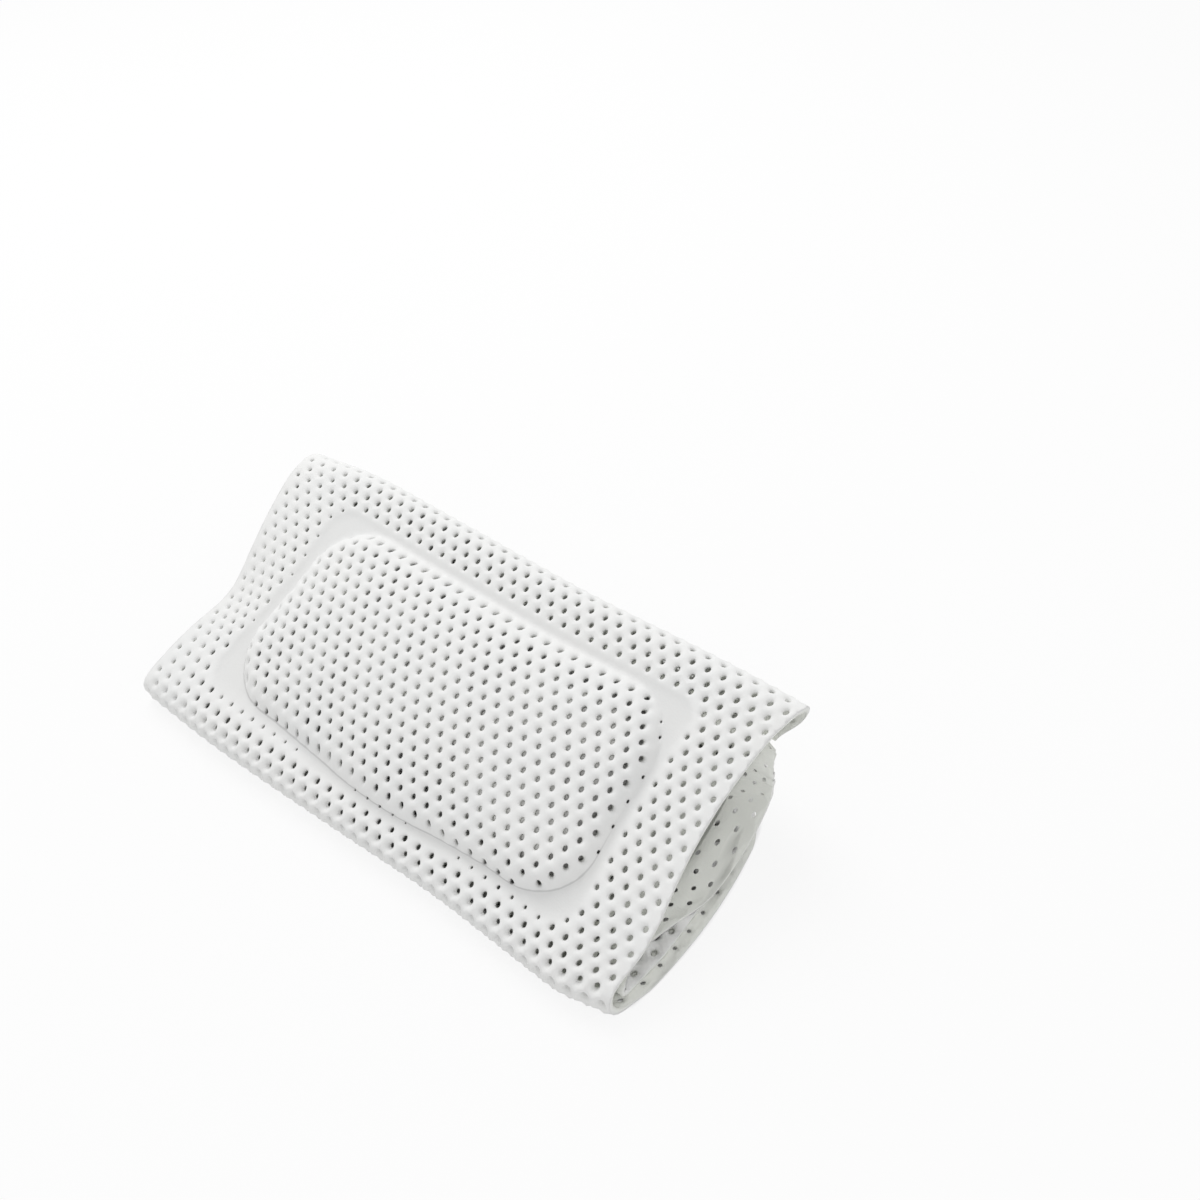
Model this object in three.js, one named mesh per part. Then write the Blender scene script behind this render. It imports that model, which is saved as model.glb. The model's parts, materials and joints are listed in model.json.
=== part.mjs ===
// Bath pillow: the head end of a perforated foam bath mat, folded up with its padded face on top.
// The sheet rises from a fold at the front to a crest, where a flap hangs down behind. Under it the
// rest of the mat lies folded: bottom sheet, rear fold, two inner runs and a rolled end.
// Units are millimetres, +Z is up, +X runs along the front fold and +Y goes to the back.
import * as THREE from 'three';

// Foam sheet
const SHEET_WIDTH = 350;
const SHEET_THICKNESS = 3.2;
const CLEARANCE = 0.3;

// Padded face: from the front fold up a slope and over the crest
const FOLD_RADIUS = 10;
const PANEL_TILT = THREE.MathUtils.degToRad(26);
const PANEL_RUN = 157;
const CREST_RADIUS = 12;
const FLAP_SPLIT = THREE.MathUtils.degToRad(45);
const FLAP_HANG = THREE.MathUtils.degToRad(-5);
const FLAP_DROP = 28;

// Pad: a dome with round shoulders in the padded face, inside a pressed weld band
const PAD_WIDTH = 247;
const PAD_LENGTH = 119;
const PAD_FROM_FOLD = 16;
const PAD_SIDE_OFFSET = 5;
const PAD_CORNER = 34;
const PAD_DRAW_IN = 1.5;
const SHOULDER_RUN = 14;
const SHOULDER_RISE = 11;
const CROWN_RISE = 5;
const WELD_WIDTH = 12;
const WELD_DEPTH = 1.2;
const FILLING_INSET = 5;
const FILLING_EASE = 1.8;
const BACKING_THICKNESS = 1;
const BACKING_CORNER = 40;

// Sides of the padded face, which the dome pulls in beside itself
const LEFT_PULL_IN = 16;
const RIGHT_PULL_IN = 9;

// Suction cups behind the pad, each on a base disc
const CUP_COLUMNS = 3;
const CUP_ROWS = 2;
const CUP_PITCH_ACROSS = 92;
const CUP_PITCH_ALONG = 46;
const CUP_DIAMETER = 32;
const CUP_HEIGHT = 8;
const CUP_CAVITY = 3.5;
const CUP_KNEE_RADIUS = 9;
const CUP_KNEE_CAVITY = 2.5;
const CUP_RIM = 1.2;
const CUP_STEM_DIAMETER = 11;
const CUP_STEM_HEIGHT = 3;
const CUP_TO_ROLL = 4;
const BASE_DIAMETER = 20;
const BASE_THICKNESS = 1.5;

// Folded tail of the mat
const HAIRPIN_RADIUS = 5;
const HAIRPIN_SETBACK = 21;
const ROLL_DEPTH = 36;
const ROLL_GAP = 2.2;
const ROLL_CORE = 4;
const ROLL_TO_FLAP = 6;
const REAR_SETBACK = 2;

// Smoothness of the round stretches
const ARC_STEP = THREE.MathUtils.degToRad(15);
const ROLL_STEPS_PER_TURN = 24;
const SAG_STEPS = 10;
const ROUND_SIDES = 28;
const SHOULDER_SHARES = [0, 0.12, 0.4, 1];
const CORNER_SHARES = [0.5, 1];
const MIDDLE_SHARES = [1 / 3, 2 / 3];
const FILLING_RINGS = [0.3, 0.55, 0.75, 0.9, 1];

// Profile plane: points hold Y, then Z, and each sheet lies to the right of its path

const QUARTER = Math.PI / 2;
const HALF = Math.PI;

function heading(angle) {
  return new THREE.Vector2(Math.cos(angle), Math.sin(angle));
}

function stepFrom(point, distance, angle) {
  return point.clone().addScaledVector(heading(angle), distance);
}

// A station of a path: a point on the sheet's outer face, and the direction that this face looks in
function arc(centre, radius, from, to) {
  const steps = Math.max(2, Math.ceil(Math.abs(to - from) / ARC_STEP));
  return Array.from({ length: steps + 1 }, (_, i) => {
    const angle = from + ((to - from) * i) / steps;
    return { point: stepFrom(centre, radius, angle), normal: heading(angle) };
  });
}

function line(points, angle) {
  return points.map((point) => ({ point, normal: heading(angle) }));
}

// Turns geometry drawn in the profile plane and extruded upright so that its length runs along X
const PROFILE_TO_PART = new THREE.Matrix4().makeBasis(
  new THREE.Vector3(0, 1, 0),
  new THREE.Vector3(0, 0, 1),
  new THREE.Vector3(1, 0, 0),
);

function sheetAlong(path) {
  const outer = path.map(({ point }) => point);
  const inner = path.map(({ point, normal }) => point.clone().addScaledVector(normal, -SHEET_THICKNESS));
  const shape = new THREE.Shape([...outer, ...inner.reverse()]);
  const extrusion = { depth: SHEET_WIDTH, bevelEnabled: false, steps: 1 };
  const geometry = new THREE.ExtrudeGeometry(shape, extrusion).translate(0, 0, -SHEET_WIDTH / 2);
  return geometry.applyMatrix4(PROFILE_TO_PART);
}

// Closed mesh from two grids of points with the same rows and columns, the front one facing out.
// Each cell is split along its shorter diagonal, which runs along a shoulder instead of over it
function shellBetween(front, back) {
  const rows = front.length;
  const columns = front[0].length;
  const points = [...front.flat(), ...back.flat()];
  const at = (i, j) => i * columns + j;
  const behind = (i, j) => rows * columns + at(i, j);
  const faces = [];
  const apart = (a, b) => points[a].distanceTo(points[b]);
  const quad = (a, b, c, d) => faces.push(
    ...(apart(a, c) <= apart(b, d) ? [a, b, c, a, c, d] : [a, b, d, b, c, d]),
  );
  for (let i = 0; i < rows - 1; i += 1) {
    for (let j = 0; j < columns - 1; j += 1) {
      quad(at(i, j), at(i, j + 1), at(i + 1, j + 1), at(i + 1, j));
      quad(behind(i, j), behind(i + 1, j), behind(i + 1, j + 1), behind(i, j + 1));
    }
  }
  for (let j = 0; j < columns - 1; j += 1) {
    quad(at(0, j), behind(0, j), behind(0, j + 1), at(0, j + 1));
    quad(at(rows - 1, j + 1), behind(rows - 1, j + 1), behind(rows - 1, j), at(rows - 1, j));
  }
  for (let i = 0; i < rows - 1; i += 1) {
    quad(at(i + 1, 0), behind(i + 1, 0), behind(i, 0), at(i, 0));
    quad(at(i, columns - 1), behind(i, columns - 1), behind(i + 1, columns - 1), at(i + 1, columns - 1));
  }
  const geometry = new THREE.BufferGeometry().setFromPoints(points);
  geometry.setIndex(faces);
  return geometry;
}

// Finishes
const foam = new THREE.MeshStandardMaterial({ color: 0xecebe8, roughness: 0.75, metalness: 0 });
const film = new THREE.MeshStandardMaterial({ color: 0xc4c6c0, roughness: 0.55, metalness: 0 });
const core = new THREE.MeshStandardMaterial({ color: 0xf2efe2, roughness: 0.95, metalness: 0 });
const clearVinyl = new THREE.MeshStandardMaterial({ color: 0xd3dcdc, roughness: 0.15, metalness: 0 });

function part(name, geometry, material) {
  const mesh = new THREE.Mesh(geometry, material);
  mesh.name = name;
  return mesh;
}

// Slope of the padded face
const foldCentre = new THREE.Vector2(FOLD_RADIUS, FOLD_RADIUS);
const slopeNormalAngle = QUARTER + PANEL_TILT;
const slopeFoot = stepFrom(foldCentre, FOLD_RADIUS, slopeNormalAngle);
const slopeHead = stepFrom(slopeFoot, PANEL_RUN, PANEL_TILT);
const crestCentre = stepFrom(slopeHead, -CREST_RADIUS, slopeNormalAngle);
const rearFace = crestCentre.x + CREST_RADIUS;

// Heights of what is welded behind the slope, counted from the slope's outer face
const backingUnderside = -SHEET_THICKNESS - CLEARANCE - BACKING_THICKNESS;
const baseTop = backingUnderside - CLEARANCE;
const cupTop = baseTop - BASE_THICKNESS - CLEARANCE;

// Height of the dome above the slope, across the sheet and up the slope from its foot
const padCentre = PAD_FROM_FOLD + PAD_LENGTH / 2;

function padDepth(across, along) {
  const x = (across - PAD_SIDE_OFFSET) / (PAD_WIDTH / 2);
  const y = (along - padCentre) / (PAD_LENGTH / 2);
  const drawnX = PAD_DRAW_IN * Math.max(0, 1 - y * y);
  const drawnY = PAD_DRAW_IN * Math.max(0, 1 - x * x);
  const overX = Math.abs(x) * (PAD_WIDTH / 2) + drawnX - (PAD_WIDTH / 2 - PAD_CORNER);
  const overY = Math.abs(y) * (PAD_LENGTH / 2) + drawnY - (PAD_LENGTH / 2 - PAD_CORNER);
  const outside = Math.hypot(Math.max(overX, 0), Math.max(overY, 0));
  return PAD_CORNER - outside - Math.min(Math.max(overX, overY), 0);
}

function padHeight(across, along) {
  const depth = padDepth(across, along);
  if (depth <= 0) {
    const band = THREE.MathUtils.clamp(-depth / WELD_WIDTH, 0, 1);
    return -WELD_DEPTH * Math.sin(band * HALF);
  }
  const x = (across - PAD_SIDE_OFFSET) / (PAD_WIDTH / 2);
  const y = (along - padCentre) / (PAD_LENGTH / 2);
  const shoulder = Math.sqrt(1 - (1 - Math.min(depth / SHOULDER_RUN, 1)) ** 2);
  return shoulder * (SHOULDER_RISE + CROWN_RISE * (1 - x * x) * (1 - y * y));
}

// Grid lines over a pad side: close together on the weld band and the shoulders, and wide apart between
function padLines(size) {
  const near = [
    -WELD_WIDTH,
    -WELD_WIDTH / 2,
    ...SHOULDER_SHARES.map((share) => share * SHOULDER_RUN),
    ...CORNER_SHARES.map((share) => THREE.MathUtils.lerp(SHOULDER_RUN, PAD_CORNER, share)),
  ];
  const middle = MIDDLE_SHARES.map((share) => THREE.MathUtils.lerp(PAD_CORNER, size - PAD_CORNER, share));
  return [...near, ...middle, ...near.map((offset) => size - offset).reverse()];
}

// How far a side of the sheet is pulled in at a place up the slope: most beside the middle of the pad
function pulledIn(distance, along) {
  const share = THREE.MathUtils.clamp((along - PAD_FROM_FOLD) / PAD_LENGTH, 0, 1);
  return distance * Math.sin(share * HALF) ** 2;
}

// Stations up the padded face, with their places on the slope: the arcs at its ends have none
function coverStations() {
  const rows = padLines(PAD_LENGTH).map((offset) => PAD_FROM_FOLD + offset);
  const slopeLine = line(rows.map((along) => stepFrom(slopeFoot, along, PANEL_TILT)), slopeNormalAngle);
  return [
    ...arc(foldCentre, FOLD_RADIUS, HALF, slopeNormalAngle),
    ...slopeLine.map((station, i) => ({ ...station, along: rows[i] })),
    ...arc(crestCentre, CREST_RADIUS, slopeNormalAngle, FLAP_SPLIT),
  ];
}

function coverGeometry() {
  const padLeft = PAD_SIDE_OFFSET - PAD_WIDTH / 2;
  const padColumns = padLines(PAD_WIDTH).map((offset) => padLeft + offset);
  const columnsAt = (along) => [
    -SHEET_WIDTH / 2 + pulledIn(LEFT_PULL_IN, along),
    ...padColumns,
    SHEET_WIDTH / 2 - pulledIn(RIGHT_PULL_IN, along),
  ];
  const skin = (heightOver) => coverStations().map(({ point, normal, along }) => (
    columnsAt(along ?? 0).map((across) => {
      const height = along === undefined ? heightOver(0) : heightOver(padHeight(across, along));
      const place = point.clone().addScaledVector(normal, height);
      return new THREE.Vector3(across, place.x, place.y);
    })
  ));
  const outerFace = skin((height) => height);
  const reverseFace = skin((height) => Math.max(height, 0) - SHEET_THICKNESS);
  return shellBetween(outerFace, reverseFace);
}

// Outline of the pad, drawn in by a distance, as points across the sheet and up the slope
function padOutline(inset, corner) {
  const width = PAD_WIDTH / 2 - inset;
  const length = PAD_LENGTH / 2 - inset;
  const corners = [
    [PAD_SIDE_OFFSET + width - corner, padCentre + length - corner, 0],
    [PAD_SIDE_OFFSET - width + corner, padCentre + length - corner, QUARTER],
    [PAD_SIDE_OFFSET - width + corner, padCentre - length + corner, HALF],
    [PAD_SIDE_OFFSET + width - corner, padCentre - length + corner, HALF + QUARTER],
  ];
  return corners.flatMap(([x, y, start]) => {
    const rounded = arc(new THREE.Vector2(x, y), corner, start, start + QUARTER);
    return rounded.map(({ point }) => point);
  });
}

// The filling follows the dome from inside: rings from its centre out to its rim, and a flat underside
function fillingGeometry() {
  const floor = -SHEET_THICKNESS;
  const rim = padOutline(FILLING_INSET + PAD_DRAW_IN, PAD_CORNER);
  const points = [];
  const faces = [];
  const top = (across, along) => new THREE.Vector3(
    across,
    along,
    padHeight(across, along) - SHEET_THICKNESS - FILLING_EASE,
  );
  points.push(top(PAD_SIDE_OFFSET, padCentre));
  FILLING_RINGS.forEach((share) => rim.forEach((point) => points.push(top(
    PAD_SIDE_OFFSET + share * (point.x - PAD_SIDE_OFFSET),
    padCentre + share * (point.y - padCentre),
  ))));
  rim.forEach((point) => points.push(new THREE.Vector3(point.x, point.y, floor)));
  points.push(new THREE.Vector3(PAD_SIDE_OFFSET, padCentre, floor));
  const count = rim.length;
  const last = points.length - 1;
  for (let k = 0; k < count; k += 1) {
    const next = (k + 1) % count;
    faces.push(0, 1 + k, 1 + next);
    for (let ring = 0; ring < FILLING_RINGS.length; ring += 1) {
      const inner = 1 + ring * count;
      const outer = inner + count;
      faces.push(inner + k, outer + k, outer + next, inner + k, outer + next, inner + next);
    }
    faces.push(1 + FILLING_RINGS.length * count + next, 1 + FILLING_RINGS.length * count + k, last);
  }
  const geometry = new THREE.BufferGeometry().setFromPoints(points);
  geometry.setIndex(faces);
  return geometry;
}

function backingGeometry() {
  const shape = new THREE.Shape(padOutline(-WELD_WIDTH / 2, BACKING_CORNER));
  const extrusion = { depth: BACKING_THICKNESS, bevelEnabled: false, steps: 1 };
  return new THREE.ExtrudeGeometry(shape, extrusion).translate(0, 0, backingUnderside);
}

// A suction cup hangs from its stem with its mouth down
function cupGeometry() {
  const stem = CUP_STEM_DIAMETER / 2;
  const rim = CUP_DIAMETER / 2;
  const profile = [
    [0, -CUP_HEIGHT + CUP_CAVITY],
    [CUP_KNEE_RADIUS, -CUP_HEIGHT + CUP_KNEE_CAVITY],
    [rim - CUP_RIM, -CUP_HEIGHT],
    [rim, -CUP_HEIGHT],
    [rim, -CUP_HEIGHT + CUP_RIM],
    [(rim + stem) / 2, -(CUP_STEM_HEIGHT + CUP_HEIGHT) / 2],
    [stem, -CUP_STEM_HEIGHT],
    [stem, 0],
    [0, 0],
  ].map(([radius, height]) => new THREE.Vector2(radius, height));
  return new THREE.LatheGeometry(profile, ROUND_SIDES).rotateX(QUARTER);
}

function baseGeometry() {
  const radius = BASE_DIAMETER / 2;
  return new THREE.CylinderGeometry(radius, radius, BASE_THICKNESS, ROUND_SIDES).rotateX(QUARTER);
}

// The tail's two lower layers: bottom sheet on the floor, and the inner lower run on it
const lowerRunUnderside = SHEET_THICKNESS + CLEARANCE;
const lowerRunTop = lowerRunUnderside + SHEET_THICKNESS;
const rearFoldRadius = lowerRunTop / 2;
const rearFoldCentre = new THREE.Vector2(rearFace - REAR_SETBACK - rearFoldRadius, rearFoldRadius);
const hairpinFoot = new THREE.Vector2(HAIRPIN_SETBACK + HAIRPIN_RADIUS, lowerRunUnderside);
const hairpinCentre = stepFrom(hairpinFoot, HAIRPIN_RADIUS, QUARTER);

// The rolled end: an upright oval that winds inwards from its front face, over its top and down its back.
// At its lowest point, where it stands on the lower run, it has drawn in for this share of a turn
const TURN_AT_FLOOR = 3 / 4;
const rollPitch = SHEET_THICKNESS + ROLL_GAP;
const rollHalfDepth = ROLL_DEPTH / 2;
const rollCentreY = rearFace - SHEET_THICKNESS - ROLL_TO_FLAP - rollHalfDepth;
const rollFloor = lowerRunTop + CLEARANCE - TURN_AT_FLOOR * rollPitch;
const rollTurns = Math.floor((2 * (rollHalfDepth - ROLL_CORE)) / rollPitch) / 2;

// Half height at which the oval just clears the underside of the backing
function rollHalfHeightUnder(ceiling) {
  const slope = new THREE.Vector2(-Math.sin(PANEL_TILT), Math.cos(PANEL_TILT));
  const reach = slope.dot(slopeFoot) + ceiling - slope.x * rollCentreY - slope.y * rollFloor;
  const spread = (slope.x * rollHalfDepth) ** 2;
  return (reach * reach - spread) / (2 * reach * slope.y);
}

const rollHalfHeight = rollHalfHeightUnder(backingUnderside - CLEARANCE);
const rollCentre = new THREE.Vector2(rollCentreY, rollFloor + rollHalfHeight);
const rollStart = new THREE.Vector2(rollCentre.x - rollHalfDepth, rollCentre.y);

function rollPath() {
  const steps = Math.round(rollTurns * ROLL_STEPS_PER_TURN);
  return Array.from({ length: steps + 1 }, (_, i) => {
    const turn = i / ROLL_STEPS_PER_TURN;
    const across = rollHalfDepth - turn * rollPitch;
    const up = rollHalfHeight - turn * rollPitch;
    const ray = heading(HALF - turn * 2 * HALF);
    return {
      point: new THREE.Vector2(rollCentre.x + across * ray.x, rollCentre.y + up * ray.y),
      normal: new THREE.Vector2(ray.x * up, ray.y * across).normalize(),
    };
  });
}

// The inner upper run sags from the hairpin fold and turns up into the roll
function sagPath() {
  const start = stepFrom(hairpinCentre, HAIRPIN_RADIUS, QUARTER);
  start.x += CLEARANCE;
  const end = rollStart.clone();
  end.y -= CLEARANCE;
  const curve = new THREE.QuadraticBezierCurve(start, new THREE.Vector2(end.x, start.y), end);
  return Array.from({ length: SAG_STEPS + 1 }, (_, i) => {
    const along = curve.getTangent(i / SAG_STEPS);
    return { point: curve.getPoint(i / SAG_STEPS), normal: new THREE.Vector2(-along.y, along.x) };
  });
}

// Mat: what lies on the floor and what is folded in on it
const mat = new THREE.Group();
const frontGap = CLEARANCE / FOLD_RADIUS;
const downward = -QUARTER;
const bottomPath = [
  ...line([new THREE.Vector2(rearFoldCentre.x - CLEARANCE, 0)], downward),
  ...arc(foldCentre, FOLD_RADIUS, HALF + QUARTER, HALF + frontGap),
];
const lowerRunEnds = [rearFoldCentre.x - CLEARANCE, hairpinCentre.x + CLEARANCE];
const lowerRunPath = line(lowerRunEnds.map((y) => new THREE.Vector2(y, lowerRunUnderside)), downward);
mat.add(
  part('bottom_sheet', sheetAlong(bottomPath), foam),
  part('rear_fold', sheetAlong(arc(rearFoldCentre, rearFoldRadius, QUARTER, -QUARTER)), foam),
  part('inner_lower_run', sheetAlong(lowerRunPath), foam),
  part('hairpin_fold', sheetAlong(arc(hairpinCentre, HAIRPIN_RADIUS, HALF + QUARTER, QUARTER)), foam),
  part('inner_upper_run', sheetAlong(sagPath()), foam),
  part('rolled_end', sheetAlong(rollPath()), foam),
);

// Pillow: the padded face with all that is welded behind it
const pillow = new THREE.Group();
pillow.add(part('pillow_cover', coverGeometry(), foam));
const slope = new THREE.Group();
slope.position.set(0, slopeFoot.x, slopeFoot.y);
slope.rotation.x = PANEL_TILT;
pillow.add(slope);
slope.add(
  part('pad_filling', fillingGeometry(), core),
  part('pad_backing', backingGeometry(), film),
);
const cupReach = cupTop - CUP_HEIGHT;
const rollSide = rollStart.x - CUP_TO_ROLL - slopeFoot.x + cupReach * Math.sin(PANEL_TILT);
const lastCupRow = rollSide / Math.cos(PANEL_TILT) - CUP_DIAMETER / 2;
for (let row = 0; row < CUP_ROWS; row += 1) {
  for (let column = 0; column < CUP_COLUMNS; column += 1) {
    const number = 1 + row * CUP_COLUMNS + column;
    const across = PAD_SIDE_OFFSET + (column - (CUP_COLUMNS - 1) / 2) * CUP_PITCH_ACROSS;
    const along = lastCupRow - (CUP_ROWS - 1 - row) * CUP_PITCH_ALONG;
    const disc = part(`cup_base_${number}`, baseGeometry(), film);
    disc.position.set(across, along, baseTop - BASE_THICKNESS / 2);
    const cup = part(`suction_cup_${number}`, cupGeometry(), clearVinyl);
    cup.position.set(across, along, cupTop);
    slope.add(disc, cup);
  }
}

// Head flap: the head end of the sheet, from the crest down the back
const flapGap = CLEARANCE / CREST_RADIUS;
const flapCurl = arc(crestCentre, CREST_RADIUS, FLAP_SPLIT - flapGap, 0);
const flapTurn = arc(crestCentre, CREST_RADIUS, 0, FLAP_HANG).slice(1);
const flapFoot = stepFrom(stepFrom(crestCentre, CREST_RADIUS, FLAP_HANG), FLAP_DROP, FLAP_HANG - QUARTER);
const flapPath = [...flapCurl, ...flapTurn, ...line([flapFoot], FLAP_HANG)];
const headFlap = part('head_flap', sheetAlong(flapPath), foam);

const bathPillow = new THREE.Group();
bathPillow.add(mat, pillow, headFlap);
bathPillow.position.y = -rearFace / 2;

export default bathPillow;
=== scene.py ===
import json
import math
from functools import partial

import bmesh
import bpy
import numpy as np
from mathutils import Matrix, Vector


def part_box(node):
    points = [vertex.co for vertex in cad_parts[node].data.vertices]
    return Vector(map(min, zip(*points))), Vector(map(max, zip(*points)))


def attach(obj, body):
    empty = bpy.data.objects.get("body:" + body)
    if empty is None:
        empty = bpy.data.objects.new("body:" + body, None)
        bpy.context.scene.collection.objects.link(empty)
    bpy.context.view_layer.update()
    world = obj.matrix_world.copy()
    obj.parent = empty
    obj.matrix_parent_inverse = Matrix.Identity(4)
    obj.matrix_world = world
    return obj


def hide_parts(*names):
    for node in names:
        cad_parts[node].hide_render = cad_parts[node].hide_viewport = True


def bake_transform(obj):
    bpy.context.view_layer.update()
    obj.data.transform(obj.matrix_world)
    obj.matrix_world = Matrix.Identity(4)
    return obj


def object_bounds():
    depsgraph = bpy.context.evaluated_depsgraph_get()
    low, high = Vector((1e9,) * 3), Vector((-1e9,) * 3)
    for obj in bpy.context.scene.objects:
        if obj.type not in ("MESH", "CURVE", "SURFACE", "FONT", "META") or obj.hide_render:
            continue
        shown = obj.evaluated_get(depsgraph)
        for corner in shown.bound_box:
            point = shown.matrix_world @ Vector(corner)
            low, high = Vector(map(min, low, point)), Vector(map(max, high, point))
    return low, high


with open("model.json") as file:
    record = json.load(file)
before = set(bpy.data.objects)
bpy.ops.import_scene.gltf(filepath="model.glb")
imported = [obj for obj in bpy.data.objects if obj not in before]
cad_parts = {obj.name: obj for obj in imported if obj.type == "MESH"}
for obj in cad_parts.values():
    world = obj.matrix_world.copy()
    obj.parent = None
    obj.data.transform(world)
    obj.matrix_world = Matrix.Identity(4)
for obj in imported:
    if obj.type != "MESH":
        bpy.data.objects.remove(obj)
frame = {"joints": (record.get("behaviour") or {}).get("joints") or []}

cad_low, cad_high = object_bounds()

# The way the mat lies
# The mat is one long sheet of foam. From its head end it hangs behind the crest, runs down the slope,
# turns under at the front, lies on the floor, is folded back on itself twice and ends in a roll.
MM = 0.001
CREST_RADIUS = 12 * MM
CREST_HINGE_TURN = math.radians(45)
FLAP_HANG = math.radians(-5)
FLAP_DROP = 28 * MM
LEAD = 40 * MM
ROLL_PITCH = 5.4 * MM
ROLL_TURNS = 2.5
ROLL_POINTS = 440
RUN_POINTS = 140
PATH_STEP = 0.8 * MM
SAME_PLACE = 1e-7
hinges = {joint["name"]: Vector(joint["pos_m"]) for joint in frame["joints"]}
lower_low, lower_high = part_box("inner_lower_run")
rear_low, rear_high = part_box("rear_fold")
hairpin_low, hairpin_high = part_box("hairpin_fold")
roll_low, roll_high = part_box("rolled_end")
half_thickness = (lower_high.z - lower_low.z) / 2


def heading(angle):
    return np.array([math.cos(angle), math.sin(angle)])


fold_radius = hinges["pillow_fold"].z
front = hinges["pillow_fold"].y
fold_centre = np.array([front + fold_radius, fold_radius])
fold_bend = fold_radius - half_thickness
crest_hinge = np.array([hinges["head_flap_fold"].y, hinges["head_flap_fold"].z])
crest_centre = crest_hinge - CREST_RADIUS * heading(CREST_HINGE_TURN)
crest_bend = CREST_RADIUS - half_thickness
between = crest_centre - fold_centre
tilt = math.atan2(between[1], between[0])
tilt += math.asin((CREST_RADIUS - fold_radius) / np.linalg.norm(between))
slope_turn = math.pi / 2 + tilt

flap_turn = crest_centre + crest_bend * heading(FLAP_HANG)
flap_foot = flap_turn + FLAP_DROP * heading(FLAP_HANG - math.pi / 2)
lead_start = flap_foot + LEAD * heading(FLAP_HANG - math.pi / 2)
slope_head = crest_centre + crest_bend * heading(slope_turn)
slope_foot = fold_centre + fold_bend * heading(slope_turn)
bottom_start = np.array([fold_centre[0], half_thickness])
bottom_end = np.array([rear_low.y, half_thickness])
rear_radius = rear_high.z / 2
rear_centre = np.array([rear_low.y, rear_radius])
lower_start = np.array([rear_low.y, rear_high.z - half_thickness])
lower_end = np.array([hairpin_high.y, hairpin_low.z + half_thickness])
hairpin_radius = (hairpin_high.z - hairpin_low.z) / 2
hairpin_centre = np.array([hairpin_high.y, hairpin_low.z + hairpin_radius])
roll_half_depth = (roll_high.y - roll_low.y + ROLL_PITCH / 2) / 2
roll_half_height = (roll_high.z - roll_low.z + ROLL_PITCH) / 2
roll_centre = np.array([roll_low.y + roll_half_depth, roll_high.z + ROLL_PITCH / 4 - roll_half_height])
upper_start = np.array([hairpin_high.y, hairpin_high.z - half_thickness])
upper_end = np.array([roll_low.y + half_thickness, roll_centre[1]])


def arc(centre, radius, start, stop):
    count = max(4, math.ceil(abs(stop - start) * radius / PATH_STEP))
    return [centre + radius * heading(angle) for angle in np.linspace(start, stop, count)]


def line(start, stop):
    count = max(2, math.ceil(np.linalg.norm(stop - start) / PATH_STEP))
    return [start + (stop - start) * share for share in np.linspace(0, 1, count)]


def sagging_run(start, stop):
    bend = np.array([stop[0], start[1]])
    shares = np.linspace(0, 1, RUN_POINTS)
    return [(1 - s) ** 2 * start + 2 * s * (1 - s) * bend + s ** 2 * stop for s in shares]


def roll_line():
    points = []
    for turn in np.linspace(0, ROLL_TURNS, ROLL_POINTS):
        shrink = turn * ROLL_PITCH + half_thickness
        reach = np.array([roll_half_depth - shrink, roll_half_height - shrink])
        points.append(roll_centre + reach * heading(math.pi - 2 * math.pi * turn))
    return points


pieces_of_path = [
    line(lead_start, flap_turn),
    arc(crest_centre, crest_bend, FLAP_HANG, slope_turn),
    line(slope_head, slope_foot),
    arc(fold_centre, fold_bend, slope_turn, 1.5 * math.pi),
    line(bottom_start, bottom_end),
    arc(rear_centre, rear_radius - half_thickness, -math.pi / 2, math.pi / 2),
    line(lower_start, lower_end),
    arc(hairpin_centre, hairpin_radius - half_thickness, 1.5 * math.pi, math.pi / 2),
    sagging_run(upper_start, upper_end),
    roll_line(),
]
path = np.array([point for piece in pieces_of_path for point in piece])
moved = np.linalg.norm(np.diff(path, axis=0), axis=1) > SAME_PLACE
path = path[np.concatenate([[True], moved])]
path_length = np.concatenate([[0], np.cumsum(np.linalg.norm(np.diff(path, axis=0), axis=1))]) - LEAD


def length_at(point):
    return path_length[np.argmin(np.linalg.norm(path - point, axis=1))]


def path_point(along):
    return np.interp(along, path_length, path[:, 0]), np.interp(along, path_length, path[:, 1])


turns = (slope_foot, slope_head, bottom_start, bottom_end, lower_end, upper_start, upper_end)
foot_at, head_at, floor_at, rear_at, hairpin_at, upper_at, roll_at = map(length_at, turns)
end_at = path_length[-1]

# The pad's outline
# The pad is a rounded rectangle set a little to the right of the sheet's middle. Depth counts in from
# its outline, so it is positive on the dome and negative on the weld band and the margin.
PAD_LENGTH = 119 * MM
PAD_FROM_FOLD = 16 * MM
PAD_CORNER = 37 * MM
PAD_DRAW_IN = 1.5 * MM
PAD_LEFT_BY = 1.5 * MM
FILLING_INSET = 5 * MM
WELD_DEPTH = 1.3 * MM
WELD_FRONT = 6 * MM
WELD_BACK = 7.5 * MM
WELD_LEFT = 10.5 * MM
WELD_RIGHT = 7.5 * MM
WELD_CORNER = 16 * MM


def mm(*lengths):
    return tuple(length * MM for length in lengths)


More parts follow.
